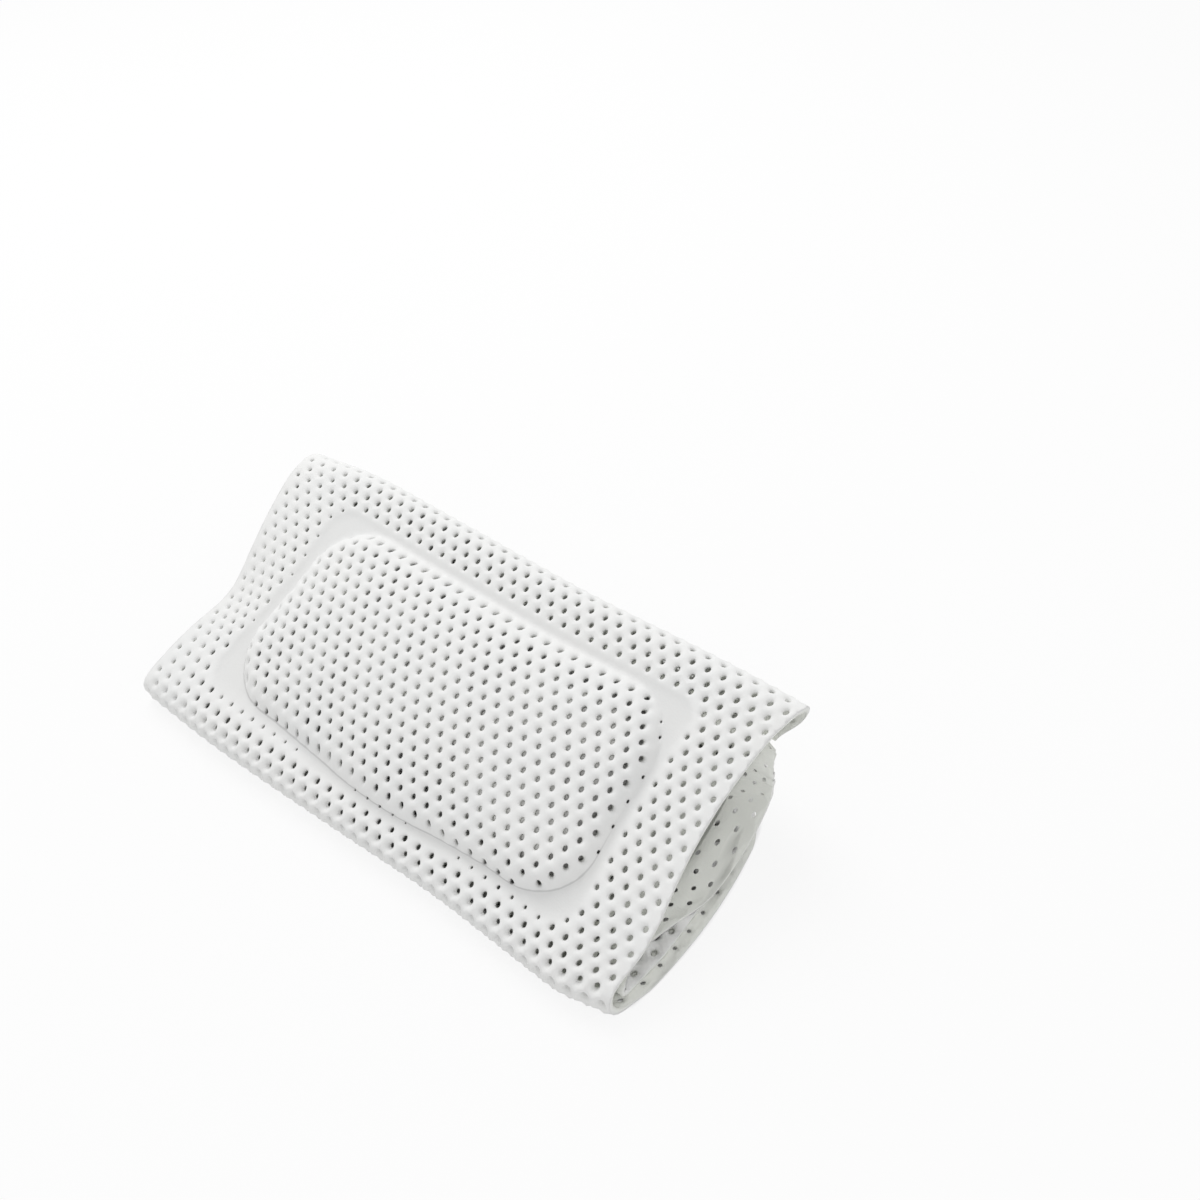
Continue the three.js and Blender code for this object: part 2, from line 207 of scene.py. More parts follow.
GROOVE_FROM_DOME = mm(-0.5, 2.5)
GROOVE_FROM_MARGIN = mm(-2, 5)
FRONT_DRAWN = 3.6 * MM
FRONT_BOW = 6 * MM
FRONT_BOW_RISES = mm(-88, 8)
FRONT_BOW_FALLS = mm(8, 88)
LEFT_SPREAD = 6 * MM
LEFT_SPREAD_ACROSS = mm(60, 115)
LEFT_SPREAD_ALONG = mm(-30, 45)
filling_low, filling_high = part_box("pad_filling")
pad_x = (filling_low.x + filling_high.x) / 2
pad_at = foot_at - PAD_FROM_FOLD - PAD_LENGTH / 2
dome_x = pad_x - PAD_LEFT_BY
dome_width = filling_high.x - filling_low.x + 2 * FILLING_INSET


def smooth(low, high, value):
    share = np.clip((value - low) / (high - low), 0, 1)
    return share * share * (3 - 2 * share)


def rounded_depth(across, along, width, length, corner, draw_in):
    x = np.clip(across / (width / 2), -1, 1)
    y = np.clip(along / (length / 2), -1, 1)
    over_x = np.abs(across) - (width / 2 - draw_in * (1 - y * y)) + corner
    over_y = np.abs(along) - (length / 2 - draw_in * (1 - x * x)) + corner
    outside = np.hypot(np.maximum(over_x, 0), np.maximum(over_y, 0))
    return corner - outside - np.minimum(np.maximum(over_x, over_y), 0)


def pad_pull(across, along):
    bow = smooth(*FRONT_BOW_RISES, across) * (1 - smooth(*FRONT_BOW_FALLS, across))
    drawn = (FRONT_DRAWN - FRONT_BOW * bow) * smooth(0, PAD_LENGTH / 2, along - pad_at)
    spread = smooth(*LEFT_SPREAD_ACROSS, -across) * smooth(*LEFT_SPREAD_ALONG, along - pad_at)
    return LEFT_SPREAD * spread, drawn


def pad_depth(across, along):
    spread, drawn = pad_pull(across, along)
    x, y = across + spread - dome_x, along + drawn - pad_at
    return rounded_depth(x, y, dome_width, PAD_LENGTH, PAD_CORNER, PAD_DRAW_IN)


def weld_depth(across, along):
    spread, drawn = pad_pull(across, along)
    middle_x = dome_x + (WELD_RIGHT - WELD_LEFT) / 2
    middle_at = pad_at + (WELD_FRONT - WELD_BACK) / 2
    width = dome_width + WELD_LEFT + WELD_RIGHT
    length = PAD_LENGTH + WELD_FRONT + WELD_BACK
    return rounded_depth(across + spread - middle_x, along + drawn - middle_at, width, length, WELD_CORNER, 0)


def weld_groove(across, along):
    outside_dome = smooth(*GROOVE_FROM_DOME, -pad_depth(across, along))
    return -WELD_DEPTH * outside_dome * smooth(*GROOVE_FROM_MARGIN, weld_depth(across, along))


# Where the soft sheet strays from the straight fold lines
# Its front bulges on the left and is drawn back at the right tip, both edges have a waist, the left
# margin droops and the layers stick out at the right. A pair is where a change begins and where it is done.
FLOOR_LIFT = 0.3 * MM
FLOOR_BEGINS = mm(-9, -3)
FLOOR_ENDS = mm(3, 8)
FACE_ENDS = mm(5, 75)
RIGHT_PART = (0.5, 0.98)
LEFT_PART = (0.62, 0.98)
SLOPE_BACK = 2 * MM
SLOPE_BACK_ACROSS = mm(-20, 80)
TIP_BACK = 6.5 * MM
TIP_BACK_ACROSS = mm(138, 174)
TIP_IN = 5 * MM
TIP_RUN = 45 * MM
LEFT_BULGE = 8 * MM
LEFT_BULGE_ENDS = mm(-130, 50)
FRONT_BACK = 1 * MM
FRONT_BACK_ACROSS = mm(10, 75)
BULGE_RUN = 38 * MM
CREST_RIGHT_BACK = 5.5 * MM
CREST_BACK_ACROSS = mm(20, 150)
CREST_LEFT_FORE = 3 * MM
CREST_CORNER = mm(140, 175)
RIGHT_WAIST = 8 * MM
RIGHT_WAIST_FROM = 20 * MM
RIGHT_WAIST_RUN = 145 * MM
RIGHT_FLARE = 3 * MM
LEFT_WAIST = 4.5 * MM
LEFT_WAIST_AT = 65 * MM
LEFT_WAIST_RUN = 30 * MM
LEFT_FLARE = 5 * MM
LEFT_FLARE_UP = mm(95, 150)
LEFT_DROOP = 8 * MM
CORNER_DROOP = 6 * MM
FLAP_CORNER_IN = 12 * MM
FLAP_HANGS = mm(-20, -55)
UNDER_BEGINS = mm(-10, 15)
BOTTOM_OUT = 9 * MM
RUN_OUT = 2 * MM
RUN_BEGINS = 50 * MM
REAR_CORNER_IN = 14 * MM
REAR_CORNER = mm(45, 80)
HAIRPIN_BACK = -2 * MM
HAIRPIN_BACK_RUN = 80 * MM
HAIRPIN_IN = 3 * MM
HAIRPIN_IN_RUN = 35 * MM
UPPER_BEGINS = 20 * MM
UPPER_OUT = mm(-20, 40)
UPPER_IN = 10 * MM
UPPER_IN_ENDS = mm(-45, 5)
EDGE_LEVEL = 8.7 * MM
EDGE_DROOP = 0.9
EDGE_DROOP_ACROSS = mm(142, 174)
CREASE_HEIGHT = 1.7 * MM
CREASE_STEP = 17 * MM
CREASE_SLANT = 0.12
CREASE_ACROSS = mm(100, 140)
CREASE_LOST = 0.6
ROLL_BEGINS = mm(-45, 15)
ROLL_RECEDE = 32 * MM
ROLL_RECEDE_FROM = 60 * MM
ROLL_BACK = 5 * MM
ROLL_UP = 3.5 * MM
ROLL_SHIFT_ACROSS = mm(90, 160)
ROLL_END_ACROSS = mm(146, 178)
ROLL_END_UP = 12 * MM
ROLL_END_CLOSED = 0.6
ROLL_PLEATS = 9
ROLL_PLEAT_DEPTH = 0.1
sheet_half = cad_high.x


def on_floor(along):
    return smooth(*FLOOR_BEGINS, along - floor_at) * (1 - smooth(*FLOOR_ENDS, along - rear_at))


def sheet_point(across, along):
    y, z = path_point(along)
    z = z + FLOOR_LIFT * on_floor(along)
    up_slope = foot_at - along
    share_up = np.clip(up_slope / (foot_at - head_at), 0, 1)
    face = 1 - smooth(*FACE_ENDS, along - floor_at)
    right = smooth(*RIGHT_PART, across / sheet_half)
    left = smooth(*LEFT_PART, -across / sheet_half)
    tip_shift = SLOPE_BACK * smooth(*SLOPE_BACK_ACROSS, across) + TIP_BACK * smooth(*TIP_BACK_ACROSS, across)
    crest_shift = CREST_RIGHT_BACK * smooth(*CREST_BACK_ACROSS, across) - CREST_LEFT_FORE * left
    bulge = LEFT_BULGE * (1 - smooth(*LEFT_BULGE_ENDS, across))
    bulge = (bulge - FRONT_BACK * smooth(*FRONT_BACK_ACROSS, across)) * (1 - smooth(0, BULGE_RUN, up_slope))
    y = y + face * (tip_shift * (1 - share_up) + crest_shift * share_up - bulge)
    from_hairpin = np.abs(along - (hairpin_at + upper_at) / 2)
    y = y + HAIRPIN_BACK * (1 - smooth(0, HAIRPIN_BACK_RUN, from_hairpin)) * smooth(0, sheet_half, across)
    x = across - HAIRPIN_IN * (1 - smooth(0, HAIRPIN_IN_RUN, from_hairpin)) * right
    at_corner = smooth(*CREST_CORNER, up_slope)
    right_waist = np.sin(np.pi * np.clip((up_slope - RIGHT_WAIST_FROM) / RIGHT_WAIST_RUN, 0, 1))
    x = x + face * right * (RIGHT_FLARE * at_corner - RIGHT_WAIST * right_waist)
    x = x - TIP_IN * right * (1 - smooth(0, TIP_RUN, up_slope)) * (1 - smooth(foot_at, floor_at, along))
    left_waist = np.exp(-((up_slope - LEFT_WAIST_AT) / LEFT_WAIST_RUN) ** 2)
    x = x + face * left * (LEFT_WAIST * left_waist - LEFT_FLARE * smooth(*LEFT_FLARE_UP, up_slope))
    z = z - face * left ** 2 * (LEFT_DROOP * left_waist + CORNER_DROOP * at_corner)
    x = x - FLAP_CORNER_IN * right * smooth(*FLAP_HANGS, along - head_at)

    layers = np.sin(np.pi * np.clip((y - front) / (cad_high.y - front), 0, 1))
    inner = smooth(0, RUN_BEGINS, along - rear_at)
    upper = smooth(hairpin_at, upper_at + UPPER_BEGINS, along)
    rolled = smooth(*ROLL_BEGINS, along - roll_at)
    draped = upper * (1 - rolled)
    out = BOTTOM_OUT + (RUN_OUT - BOTTOM_OUT) * inner * (1 - upper * smooth(*UPPER_OUT, y))
    rear_in = REAR_CORNER_IN * (1 - upper) * smooth(*REAR_CORNER, y)
    x = x + smooth(*UNDER_BEGINS, along - floor_at) * right * (out * layers - rear_in)
    x = x - UPPER_IN * right * upper * (1 - smooth(*UPPER_IN_ENDS, y))
    droop = draped * smooth(*EDGE_DROOP_ACROSS, across)
    z = z - EDGE_DROOP * droop * np.maximum(z - EDGE_LEVEL, 0)
    creases = np.sin(2 * np.pi * (across + CREASE_SLANT * y) / CREASE_STEP)
    z = z + CREASE_HEIGHT * creases * draped * smooth(*CREASE_ACROSS, across) * (1 - CREASE_LOST * droop)

    inward = np.clip((along - roll_at) / (end_at - roll_at), 0, 1)
    x = x - ROLL_RECEDE * inward * smooth(ROLL_RECEDE_FROM, sheet_half, across)
    shifted = rolled * smooth(*ROLL_SHIFT_ACROSS, across)
    y = y + shifted * ROLL_BACK
    z = z + shifted * ROLL_UP
    closing = rolled * smooth(*ROLL_END_ACROSS, x)
    middle_y = roll_centre[0] + ROLL_BACK
    middle_z = roll_centre[1] + ROLL_UP + ROLL_END_UP
    pleats = np.sin(ROLL_PLEATS * np.arctan2(z - middle_z, y - middle_y))
    shrunk = (1 - ROLL_END_CLOSED * closing) * (1 + ROLL_PLEAT_DEPTH * closing * pleats)
    y = middle_y + (y - middle_y) * shrunk
    z = middle_z + (z - middle_z) * shrunk
    return np.stack([x, y, z], axis=-1)


def surface_normals(points):
    normals = np.cross(np.gradient(points, axis=1), np.gradient(points, axis=0))
    return normals / np.linalg.norm(normals, axis=-1, keepdims=True)


# The perforation
# The foam is blown through a knitted net, which leaves a hole in every mesh and soft lumps between them.
# One cell of the net, holed or plain, is laid out again and again by nodes and wrapped on a base surface.
PITCH_ACROSS = 8.95 * MM
PITCH_ALONG = 13.95 * MM
HOLE_ACROSS = 1.3 * MM
HOLE_ALONG = 1.7 * MM
LUMP_TOP = 0.7 * MM
LUMP_SADDLE = 0.35 * MM
FOLD_LUMPS = 1.7
EDGE_LUMPS = 0.3
LUMPS_PRESSED = 0.8
MARGIN_OPEN = 1.03
LEFT_LESS_OPEN = 0.33
LEFT_LESS_ACROSS = mm(105, 165)
LEAST_OPEN = 0.3
DOME_BEGINS = mm(-3.5, -0.5)
MARGIN_BEGINS = mm(-1.5, 1.5)
EDGE_BAND = mm(1, 5)
FOLD_BAND = mm(-8, 6)
# The painted shade line at the dome's foot fades in from just behind the pad's middle towards its front.
CREASE_SHADE_ALONG = mm(-10, 40)
DEPTH_LIMIT = 20 * MM
COLUMNS_LEFT = 19.5
COLUMNS_RIGHT = 18.5
HEAD_ROW = -9.5
PLAIN_EDGE = 2 * MM
ON_EDGE = 1e-6
LEAST_FACE = 4e-9
MERGE_WITHIN = 0.00004
BASE_REACH = 12 * MM
BASE_ROWS = 2
WALL_LEVEL = 0.5 * MM
PLACE_DIGITS = 6
FAR = 10.0
left_edge = pad_x - COLUMNS_LEFT * PITCH_ACROSS
right_edge = pad_x + COLUMNS_RIGHT * PITCH_ACROSS
head_edge = pad_at + HEAD_ROW * PITCH_ALONG
top, under = half_thickness, -half_thickness
scene = bpy.context.scene


def row_at(row):
    return pad_at + row * PITCH_ALONG


def put_in_scene(name, data):
    item = bpy.data.objects.new(name, data)
    scene.collection.objects.link(item)
    return item


def smooth_mesh(name, points, faces):
    mesh = bpy.data.meshes.new(name)
    mesh.from_pydata(points, [], faces)
    mesh.polygons.foreach_set("use_smooth", [True] * len(mesh.polygons))
    return mesh


def mark_points(mesh, marks):
    for label, values in marks.items():
        attribute = mesh.attributes.new(label, "FLOAT", "POINT")
        attribute.data.foreach_set("value", np.array(values, np.float32).ravel())


def cell_outline():
    half_across = PITCH_ACROSS / 2
    half_along = PITCH_ALONG / 2
    flank = (half_along ** 2 - half_across ** 2) / PITCH_ALONG
    tip = (half_along ** 2 + half_across ** 2) / PITCH_ALONG
    corners = [(half_across, flank), (0, tip), (-half_across, flank)]
    corners += [(-x, -y) for x, y in corners]
    outline = []
    for (x, y), (next_x, next_y) in zip(corners, corners[1:] + corners[:1]):
        outline.append((x, y, LUMP_TOP))
        outline.append(((x + next_x) / 2, (y + next_y) / 2, LUMP_SADDLE))
    return outline


def cell_form(name, rings, closed_at=0):
    outline = cell_outline()
    sides = len(outline)
    points, faces = [], []
    marks = {"lump": [], "rim": [], "back": []}

    def add_point(x, y, level, *values):
        points.append((x, y, level + values[0]))
        for label, value in zip(marks, values):
            marks[label].append(value)

    for grow, level, lump, rim, back in rings:
        for x, y, outline_lump in outline:
            if grow is None:
                add_point(x, y, level, outline_lump if level > 0 else 0, rim, back)
            else:
                angle = math.atan2(y, x)
                hole_x = (HOLE_ACROSS + grow) * math.cos(angle)
                hole_y = (HOLE_ALONG + grow) * math.sin(angle)
                add_point(hole_x, hole_y, level, lump, rim, back)
    for ring in range(len(rings) - 1):
        low, high = ring * sides, (ring + 1) * sides
        for side in range(sides):
            after = (side + 1) % sides
            if ring != closed_at - 1:
                faces.append((low + side, high + side, high + after, low + after))
    if closed_at:
        for ring, level, back, turn in ((closed_at - 1, top, 0, 1), (closed_at, under, 1, -1)):
            low, hub = ring * sides, len(points)
            add_point(0, 0, level, 0, 1, back)
            for side in range(sides):
                faces.append((low + (side + 1) % sides, low + side, hub)[::turn])
    mesh = smooth_mesh(name, points, faces)
    mark_points(mesh, marks)
    return put_in_scene(name, mesh)


# Each ring of a cell has its distance past the hole's edge, or none on the cell's outline, its level, the
# height of its lump, how far it narrows with the hole, and its share of the reverse's colour.
fine_rings = [
    (None, top, 0, 0, 0),
    (1.7 * MM, top, 0.28 * MM, 0.5, 0),
    (0.85 * MM, top, -0.15 * MM, 0.9, 0),
    (0.25 * MM, top, -0.75 * MM, 1, 0),
    (0, top, -1.5 * MM, 1, 0.15),
    (-0.3 * MM, under, 0, 1, 0.9),
    (None, under, 0, 0, 1),
]
plain_rings = [
    (None, top, 0, 0, 0),
    (1.7 * MM, top, 0.45 * MM, 0.5, 0),
    (0.6 * MM, top, 0.4 * MM, 0.6, 0),
    (0.6 * MM, under, 0, 0.6, 1),
    (1.7 * MM, under, 0, 0.5, 1),
    (None, under, 0, 0, 1),
]
coarse_rings = [
    (None, top, 0, 0, 0),
    (0.5 * MM, top, -0.35 * MM, 0.9, 0),
    (-0.4 * MM, under, 0, 1, 0.9),
    (-0.1 * MM, under, 0, 1, 1),
    (None, under, 0, 0, 1),
]
fine_cell = cell_form("fine_cell", fine_rings)
coarse_cell = cell_form("coarse_cell", coarse_rings)
plain_cell = cell_form("plain_cell", plain_rings, closed_at=3)


def wire(tree, node, wires):
    for place, value in wires:
        if isinstance(value, bpy.types.NodeSocket):
            tree.links.new(value, node.inputs[place])
        else:
            node.inputs[place].default_value = value


def add_node(tree, kind, wires=(), output=0, **settings):
    node = tree.nodes.new(kind)
    for label, value in settings.items():
        setattr(node, label, value)
    wire(tree, node, wires)
    return node.outputs[output]


def parts_of(tree, vector):
    node = tree.nodes.new("ShaderNodeSeparateXYZ")
    tree.links.new(vector, node.inputs[0])
    return node.outputs


def math_node(tree, operation, *values):
    return add_node(tree, "ShaderNodeMath", enumerate(values), operation=operation)


def new_tree(name, sockets, made):
    tree = bpy.data.node_groups.new(name, "GeometryNodeTree")
    for label, kind in sockets.items():
        tree.interface.new_socket(label, in_out="INPUT", socket_type="NodeSocket" + kind)
    tree.interface.new_socket(made, in_out="OUTPUT", socket_type="NodeSocketGeometry")
    return tree, tree.nodes.new("NodeGroupInput").outputs, tree.nodes.new("NodeGroupOutput")


def perforation_nodes():
    tree, given, result = new_tree("perforated_foam", {
        "Base": "Geometry", "Holed Cell": "Object", "Plain Cell": "Object", "Pitch Across": "Float",
        "Pitch Along": "Float", "Columns": "Int", "Rows": "Int", "First Column": "Float",
        "First Row": "Float", "Low Edge": "Vector", "High Edge": "Vector", "Base Low": "Vector",
        "Base Span": "Vector", "Smoothing": "Int", "Foam": "Material",
    }, "Foam Sheet")
    add = partial(add_node, tree)
    maths = partial(math_node, tree)

    def vectors(operation, first, second, output="Vector"):
        return add("ShaderNodeVectorMath", [(0, first), (1, second)], output, operation=operation)

    def combined(*parts):
        return add("ShaderNodeCombineXYZ", enumerate(parts))

    def stored(label, kind="FLOAT"):
        return add("GeometryNodeInputNamedAttribute", [(0, label)], data_type=kind)

    def keep_as(geometry, label, value, kind="FLOAT"):
        wires = [("Geometry", geometry), ("Name", label), ("Value", value)]
        return add("GeometryNodeStoreNamedAttribute", wires, data_type=kind, domain="POINT")

    def held_within(place, low, high):
        held = vectors("MINIMUM", vectors("MAXIMUM", place, low), high)
        return held, maths("LESS_THAN", vectors("DISTANCE", place, held, "Value"), ON_EDGE)

    wires = [("Mesh", given["Base"]), ("Level", given["Smoothing"])]
    base = add("GeometryNodeSubdivisionSurface", wires)
    base_map = stored("UVMap", "FLOAT_VECTOR")

    def on_base(value, place, kind="FLOAT"):
        where = vectors("DIVIDE", vectors("SUBTRACT", place, given["Base Low"]), given["Base Span"])
        wires = [("Mesh", base), ("Value", value), ("UV Map", base_map), ("Sample UV", where)]
        return add("GeometryNodeSampleUVSurface", wires, "Value", data_type=kind)

    spans, middles, halves = [], [], []
    ways = [("Columns", "Pitch Across", "First Column"), ("Rows", "Pitch Along", "First Row")]
    for count, pitch, first in ways:
        spans.append(maths("MULTIPLY", maths("SUBTRACT", given[count], 1.0), given[pitch]))
        middles.append(maths("MULTIPLY_ADD", spans[-1], 0.5, given[first]))
        halves.append(maths("MULTIPLY", given[pitch], 0.5))
    wires = [("Size X", spans[0]), ("Size Y", spans[1])]
    wires += [("Vertices X", given["Columns"]), ("Vertices Y", given["Rows"])]
    grid = add("GeometryNodeMeshGrid", wires)
    wires = [("Geometry", grid), ("Translation", combined(*middles))]
    even = add("GeometryNodeTransform", wires)
    wires = [("Geometry", even), ("Translation", combined(*halves))]
    odd = add("GeometryNodeTransform", wires)
    lattice = add("GeometryNodeJoinGeometry", [(0, odd), (0, even)])
    place = add("GeometryNodeInputPosition")
    lattice = keep_as(lattice, "cell", place, "FLOAT_VECTOR")
    rim_low = vectors("ADD", given["Low Edge"], (PLAIN_EDGE, PLAIN_EDGE, 0.0))
    rim_high = vectors("SUBTRACT", given["High Edge"], (PLAIN_EDGE, PLAIN_EDGE, 0.0))
    clear = held_within(place, rim_low, rim_high)[1]
    lattice = keep_as(lattice, "wide", maths("MULTIPLY", on_base(stored("open"), place), clear))
    wires = [(0, stored("wide")), (1, LEAST_OPEN)]
    holed = add("FunctionNodeCompare", wires, operation="GREATER_THAN")
    plain = add("FunctionNodeBooleanMath", [(0, holed)], operation="NOT")
    cells = []
    for form, chosen in (("Holed Cell", holed), ("Plain Cell", plain)):
        shape = add("GeometryNodeObjectInfo", [("Object", given[form]), ("As Instance", True)], "Geometry")
        wires = [("Points", lattice), ("Selection", chosen), ("Instance", shape)]
        cells.append(add("GeometryNodeInstanceOnPoints", wires))
    net = add("GeometryNodeJoinGeometry", [(0, cells[1]), (0, cells[0])])
    net = add("GeometryNodeRealizeInstances", [(0, net)])

    cell = stored("cell", "FLOAT_VECTOR")
    narrowing = maths("MULTIPLY", stored("rim"), maths("SUBTRACT", 1.0, stored("wide")))
    shrink = maths("SUBTRACT", 1.0, narrowing)
    x, y, z = parts_of(tree, vectors("SUBTRACT", place, cell))
    narrowed = combined(maths("MULTIPLY", x, shrink), maths("MULTIPLY", y, shrink), z)
    held, inside = held_within(vectors("ADD", cell, narrowed), given["Low Edge"], given["High Edge"])
    x, y, z = parts_of(tree, held)
    flattened = maths("SUBTRACT", 1.0, on_base(stored("lumpy"), held))
    height = maths("SUBTRACT", z, maths("MULTIPLY", stored("lump"), flattened))
    flat = combined(x, y, maths("MULTIPLY", height, inside))
    net = add("GeometryNodeSetPosition", [("Geometry", net), ("Position", flat)])
    area = add("GeometryNodeInputMeshFaceArea")
    no_area = add("FunctionNodeCompare", [(0, area), (1, LEAST_FACE)], operation="LESS_THAN")
    wires = [("Geometry", net), ("Selection", no_area)]
    net = add("GeometryNodeDeleteGeometry", wires, domain="FACE")
    net = add("GeometryNodeMergeByDistance", [("Geometry", net), ("Distance", MERGE_WITHIN)])
    net = keep_as(net, "flat", place, "FLOAT_VECTOR")
    flat = stored("flat", "FLOAT_VECTOR")
    height = parts_of(tree, flat)[2]
    normal = on_base(add("GeometryNodeInputNormal"), flat, "FLOAT_VECTOR")
    lift = add("ShaderNodeVectorMath", [(0, normal), ("Scale", height)], operation="SCALE")
    wrapped = vectors("ADD", on_base(place, flat, "FLOAT_VECTOR"), lift)
    net = add("GeometryNodeSetPosition", [("Geometry", net), ("Position", wrapped)])
    # The base's pad depth, share of painted crease shade and weld band are carried onto the net.
    for label in ("depth", "creased", "welded"):
        net = keep_as(net, label, on_base(stored(label), flat))
    net = add("GeometryNodeSetMaterial", [("Geometry", net), ("Material", given["Foam"])])
    wire(tree, result, [(0, net)])
    return tree


perforated_foam = perforation_nodes()


def made_by_nodes(name, holder, tree, values):
    modifier = holder.modifiers.new(tree.name, "NODES")
    modifier.node_group = tree
    for item in tree.interface.items_tree:
        if item.in_out == "INPUT" and item.name in values:
            modifier[item.identifier] = values[item.name]
    graph = bpy.context.evaluated_depsgraph_get()
    mesh = bpy.data.meshes.new_from_object(holder.evaluated_get(graph), depsgraph=graph)
    bpy.data.objects.remove(holder)
    mesh.name = name
    return mesh


def base_grid(first, last, step_across, step_along):
    spare = BASE_ROWS * PITCH_ALONG
    across = np.arange(left_edge - BASE_REACH, right_edge + BASE_REACH + step_across, step_across)
    along = np.arange(first - spare, last + spare + step_along, step_along)
    return np.meshgrid(across, along, indexing="ij")


def base_object(name, across, along, points):
    number = np.arange(across.size).reshape(across.shape)
    corners = [number[:-1, :-1], number[:-1, 1:], number[1:, 1:], number[1:, :-1]]
    faces = np.stack(corners, axis=-1).reshape(-1, 4)
    mesh = smooth_mesh(name, points.reshape(-1, 3).tolist(), faces.tolist())
    low = np.array([across.min(), along.min()])
    span = np.array([across.max(), along.max()]) - low
    places = (np.stack([across, along], axis=-1).reshape(-1, 2) - low) / span
    layer = mesh.uv_layers.new(name="UVMap")
    loops = np.zeros(len(mesh.loops), np.int32)
    mesh.loops.foreach_get("vertex_index", loops)
    layer.data.foreach_set("uv", places[loops].ravel().astype(np.float32))
    depth = pad_depth(across, along)
    on_pad = smooth(*DOME_BEGINS, depth)
    on_margin = smooth(*MARGIN_BEGINS, -weld_depth(across, along))
    free = np.maximum(on_pad, on_margin)
    margin_open = MARGIN_OPEN - LEFT_LESS_OPEN * smooth(*LEFT_LESS_ACROSS, -across)
    from_edge = smooth(*EDGE_BAND, np.minimum(across - left_edge, right_edge - across))
    at_fold = smooth(*FOLD_BAND, along - foot_at) * (1 - on_floor(along))
    lumpy = free * (EDGE_LUMPS + (1 - EDGE_LUMPS) * from_edge) * (1 + FOLD_LUMPS * at_fold)
    mark_points(mesh, {
        "open": np.maximum(on_pad, margin_open * on_margin),
        "lumpy": lumpy * (1 - LUMPS_PRESSED * on_floor(along)),
        "depth": np.clip(depth, -DEPTH_LIMIT, DEPTH_LIMIT),
        # Share of the painted shade line at the dome's foot: none at the back of the pad, full at the front.
        "creased": smooth(*CREASE_SHADE_ALONG, along - pad_at),
        "welded": 1 - free,
    })
    return put_in_scene(name, mesh), low, span


def close_row_ends(mesh):
    form = bmesh.new()
    form.from_mesh(mesh)
    flat = form.verts.layers.float_vector["flat"]

    def place(vert):
        return round(vert[flat].x, PLACE_DIGITS), round(vert[flat].y, PLACE_DIGITS)

    def open_edges():
        return [edge for edge in form.edges if len(edge.link_faces) == 1]

    unwalled = open_edges()
    partner = {}
    for edge in unwalled:
        for vert in edge.verts:
            if vert[flat].z < -WALL_LEVEL:
                partner[place(vert)] = vert
    for edge in unwalled:
        loop = edge.link_loops[0]
        first, second = loop.vert, loop.link_loop_next.vert
        if min(first[flat].z, second[flat].z) > WALL_LEVEL:
            corners = [second, first, partner.get(place(first)), partner.get(place(second))]
            if None not in corners and len(set(corners)) == 4:
                form.faces.new(corners).smooth = False
                edge.smooth = False
    bmesh.ops.holes_fill(form, edges=open_edges(), sides=4)
    form.to_mesh(mesh)
    form.free()


def perforate(name, base, cell, rows, foam, smoothing=0, ends=(-FAR, FAR)):
    holder, low, span = base
    first_row, last_row = rows
    mesh = made_by_nodes(name, holder, perforated_foam, {
        "Holed Cell": cell, "Plain Cell": plain_cell, "Pitch Across": PITCH_ACROSS,
        "Pitch Along": PITCH_ALONG, "Columns": int(COLUMNS_LEFT + COLUMNS_RIGHT) + 2,
        "Rows": last_row - first_row + 1, "First Column": left_edge - PITCH_ACROSS / 2,
        "First Row": row_at(first_row), "Low Edge": (left_edge, ends[0], -FAR),
        "High Edge": (right_edge, ends[1], FAR), "Base Low": (low[0], low[1], 0),
        "Base Span": (span[0], span[1], 1), "Smoothing": smoothing, "Foam": foam,
    })
    close_row_ends(mesh)
    for label in ("cell", "wide", "lump", "rim", "flat", "open", "lumpy"):
        if label in mesh.attributes:
            mesh.attributes.remove(mesh.attributes[label])
    return put_in_scene(name, mesh)


# The foam itself
# It is a white vinyl foam with a soft skin on the net side and a smooth grey reverse. The skin has
# fine pores and its white drifts from warm to cool, and the reverse has soft pull wrinkles along it, with
# painted shade in their folds. A thin line of painted shade lies in the crease at the dome's front foot.
FOAM_WHITE = (0.85, 0.846, 0.834, 1)
FOAM_COOL = (0.825, 0.832, 0.83, 1)
FOAM_REVERSE = (0.87, 0.88, 0.835, 1)
FOAM_REVERSE_DARK = (0.80, 0.812, 0.77, 1)
FOAM_SHINE = 0.25
FOAM_ROUGHNESS = 0.72
FOAM_DRIFT = 28
PORE_SCALE = 950
PORE_DEPTH = 0.4 * MM
PORE_STRENGTH = 0.35
TEXTURE_DETAIL = 3
WELD_ROUGHNESS = 0.5
WELD_SHADE = 0.925
# A thin line of painted shade darkens the crease at the dome's foot, along the front of the pad.
PAINTED_CREASE_SHADE = 0.78
CREASE_SHADE_DEPTH = -2 * MM
CREASE_SHADE_HALF_WIDTH = 1.2 * MM
WRINKLE_SCALE = (95, 13, 13)
WRINKLE_SLANT = (0, 0, 0.12)
WRINKLE_DETAIL = 1.5
WRINKLE_BAND = (0.52, 0.68)
# The wrinkles' folds are painted darker, as shade.
PAINTED_WRINKLE_SHADE = 0.84
WRINKLE_DEPTH = 1.6 * MM
WRINKLE_STRENGTH = 0.7


def new_material(name):
    material = bpy.data.materials.new(name)
    material.use_nodes = True
    return material, material.node_tree, material.node_tree.nodes["Principled BSDF"]


def object_place(tree):
    return add_node(tree, "ShaderNodeTexCoord", output="Object")


def noise_node(tree, place, scale, detail):
    wires = [("Vector", place), ("Scale", scale), ("Detail", detail)]
    return add_node(tree, "ShaderNodeTexNoise", wires, "Fac")


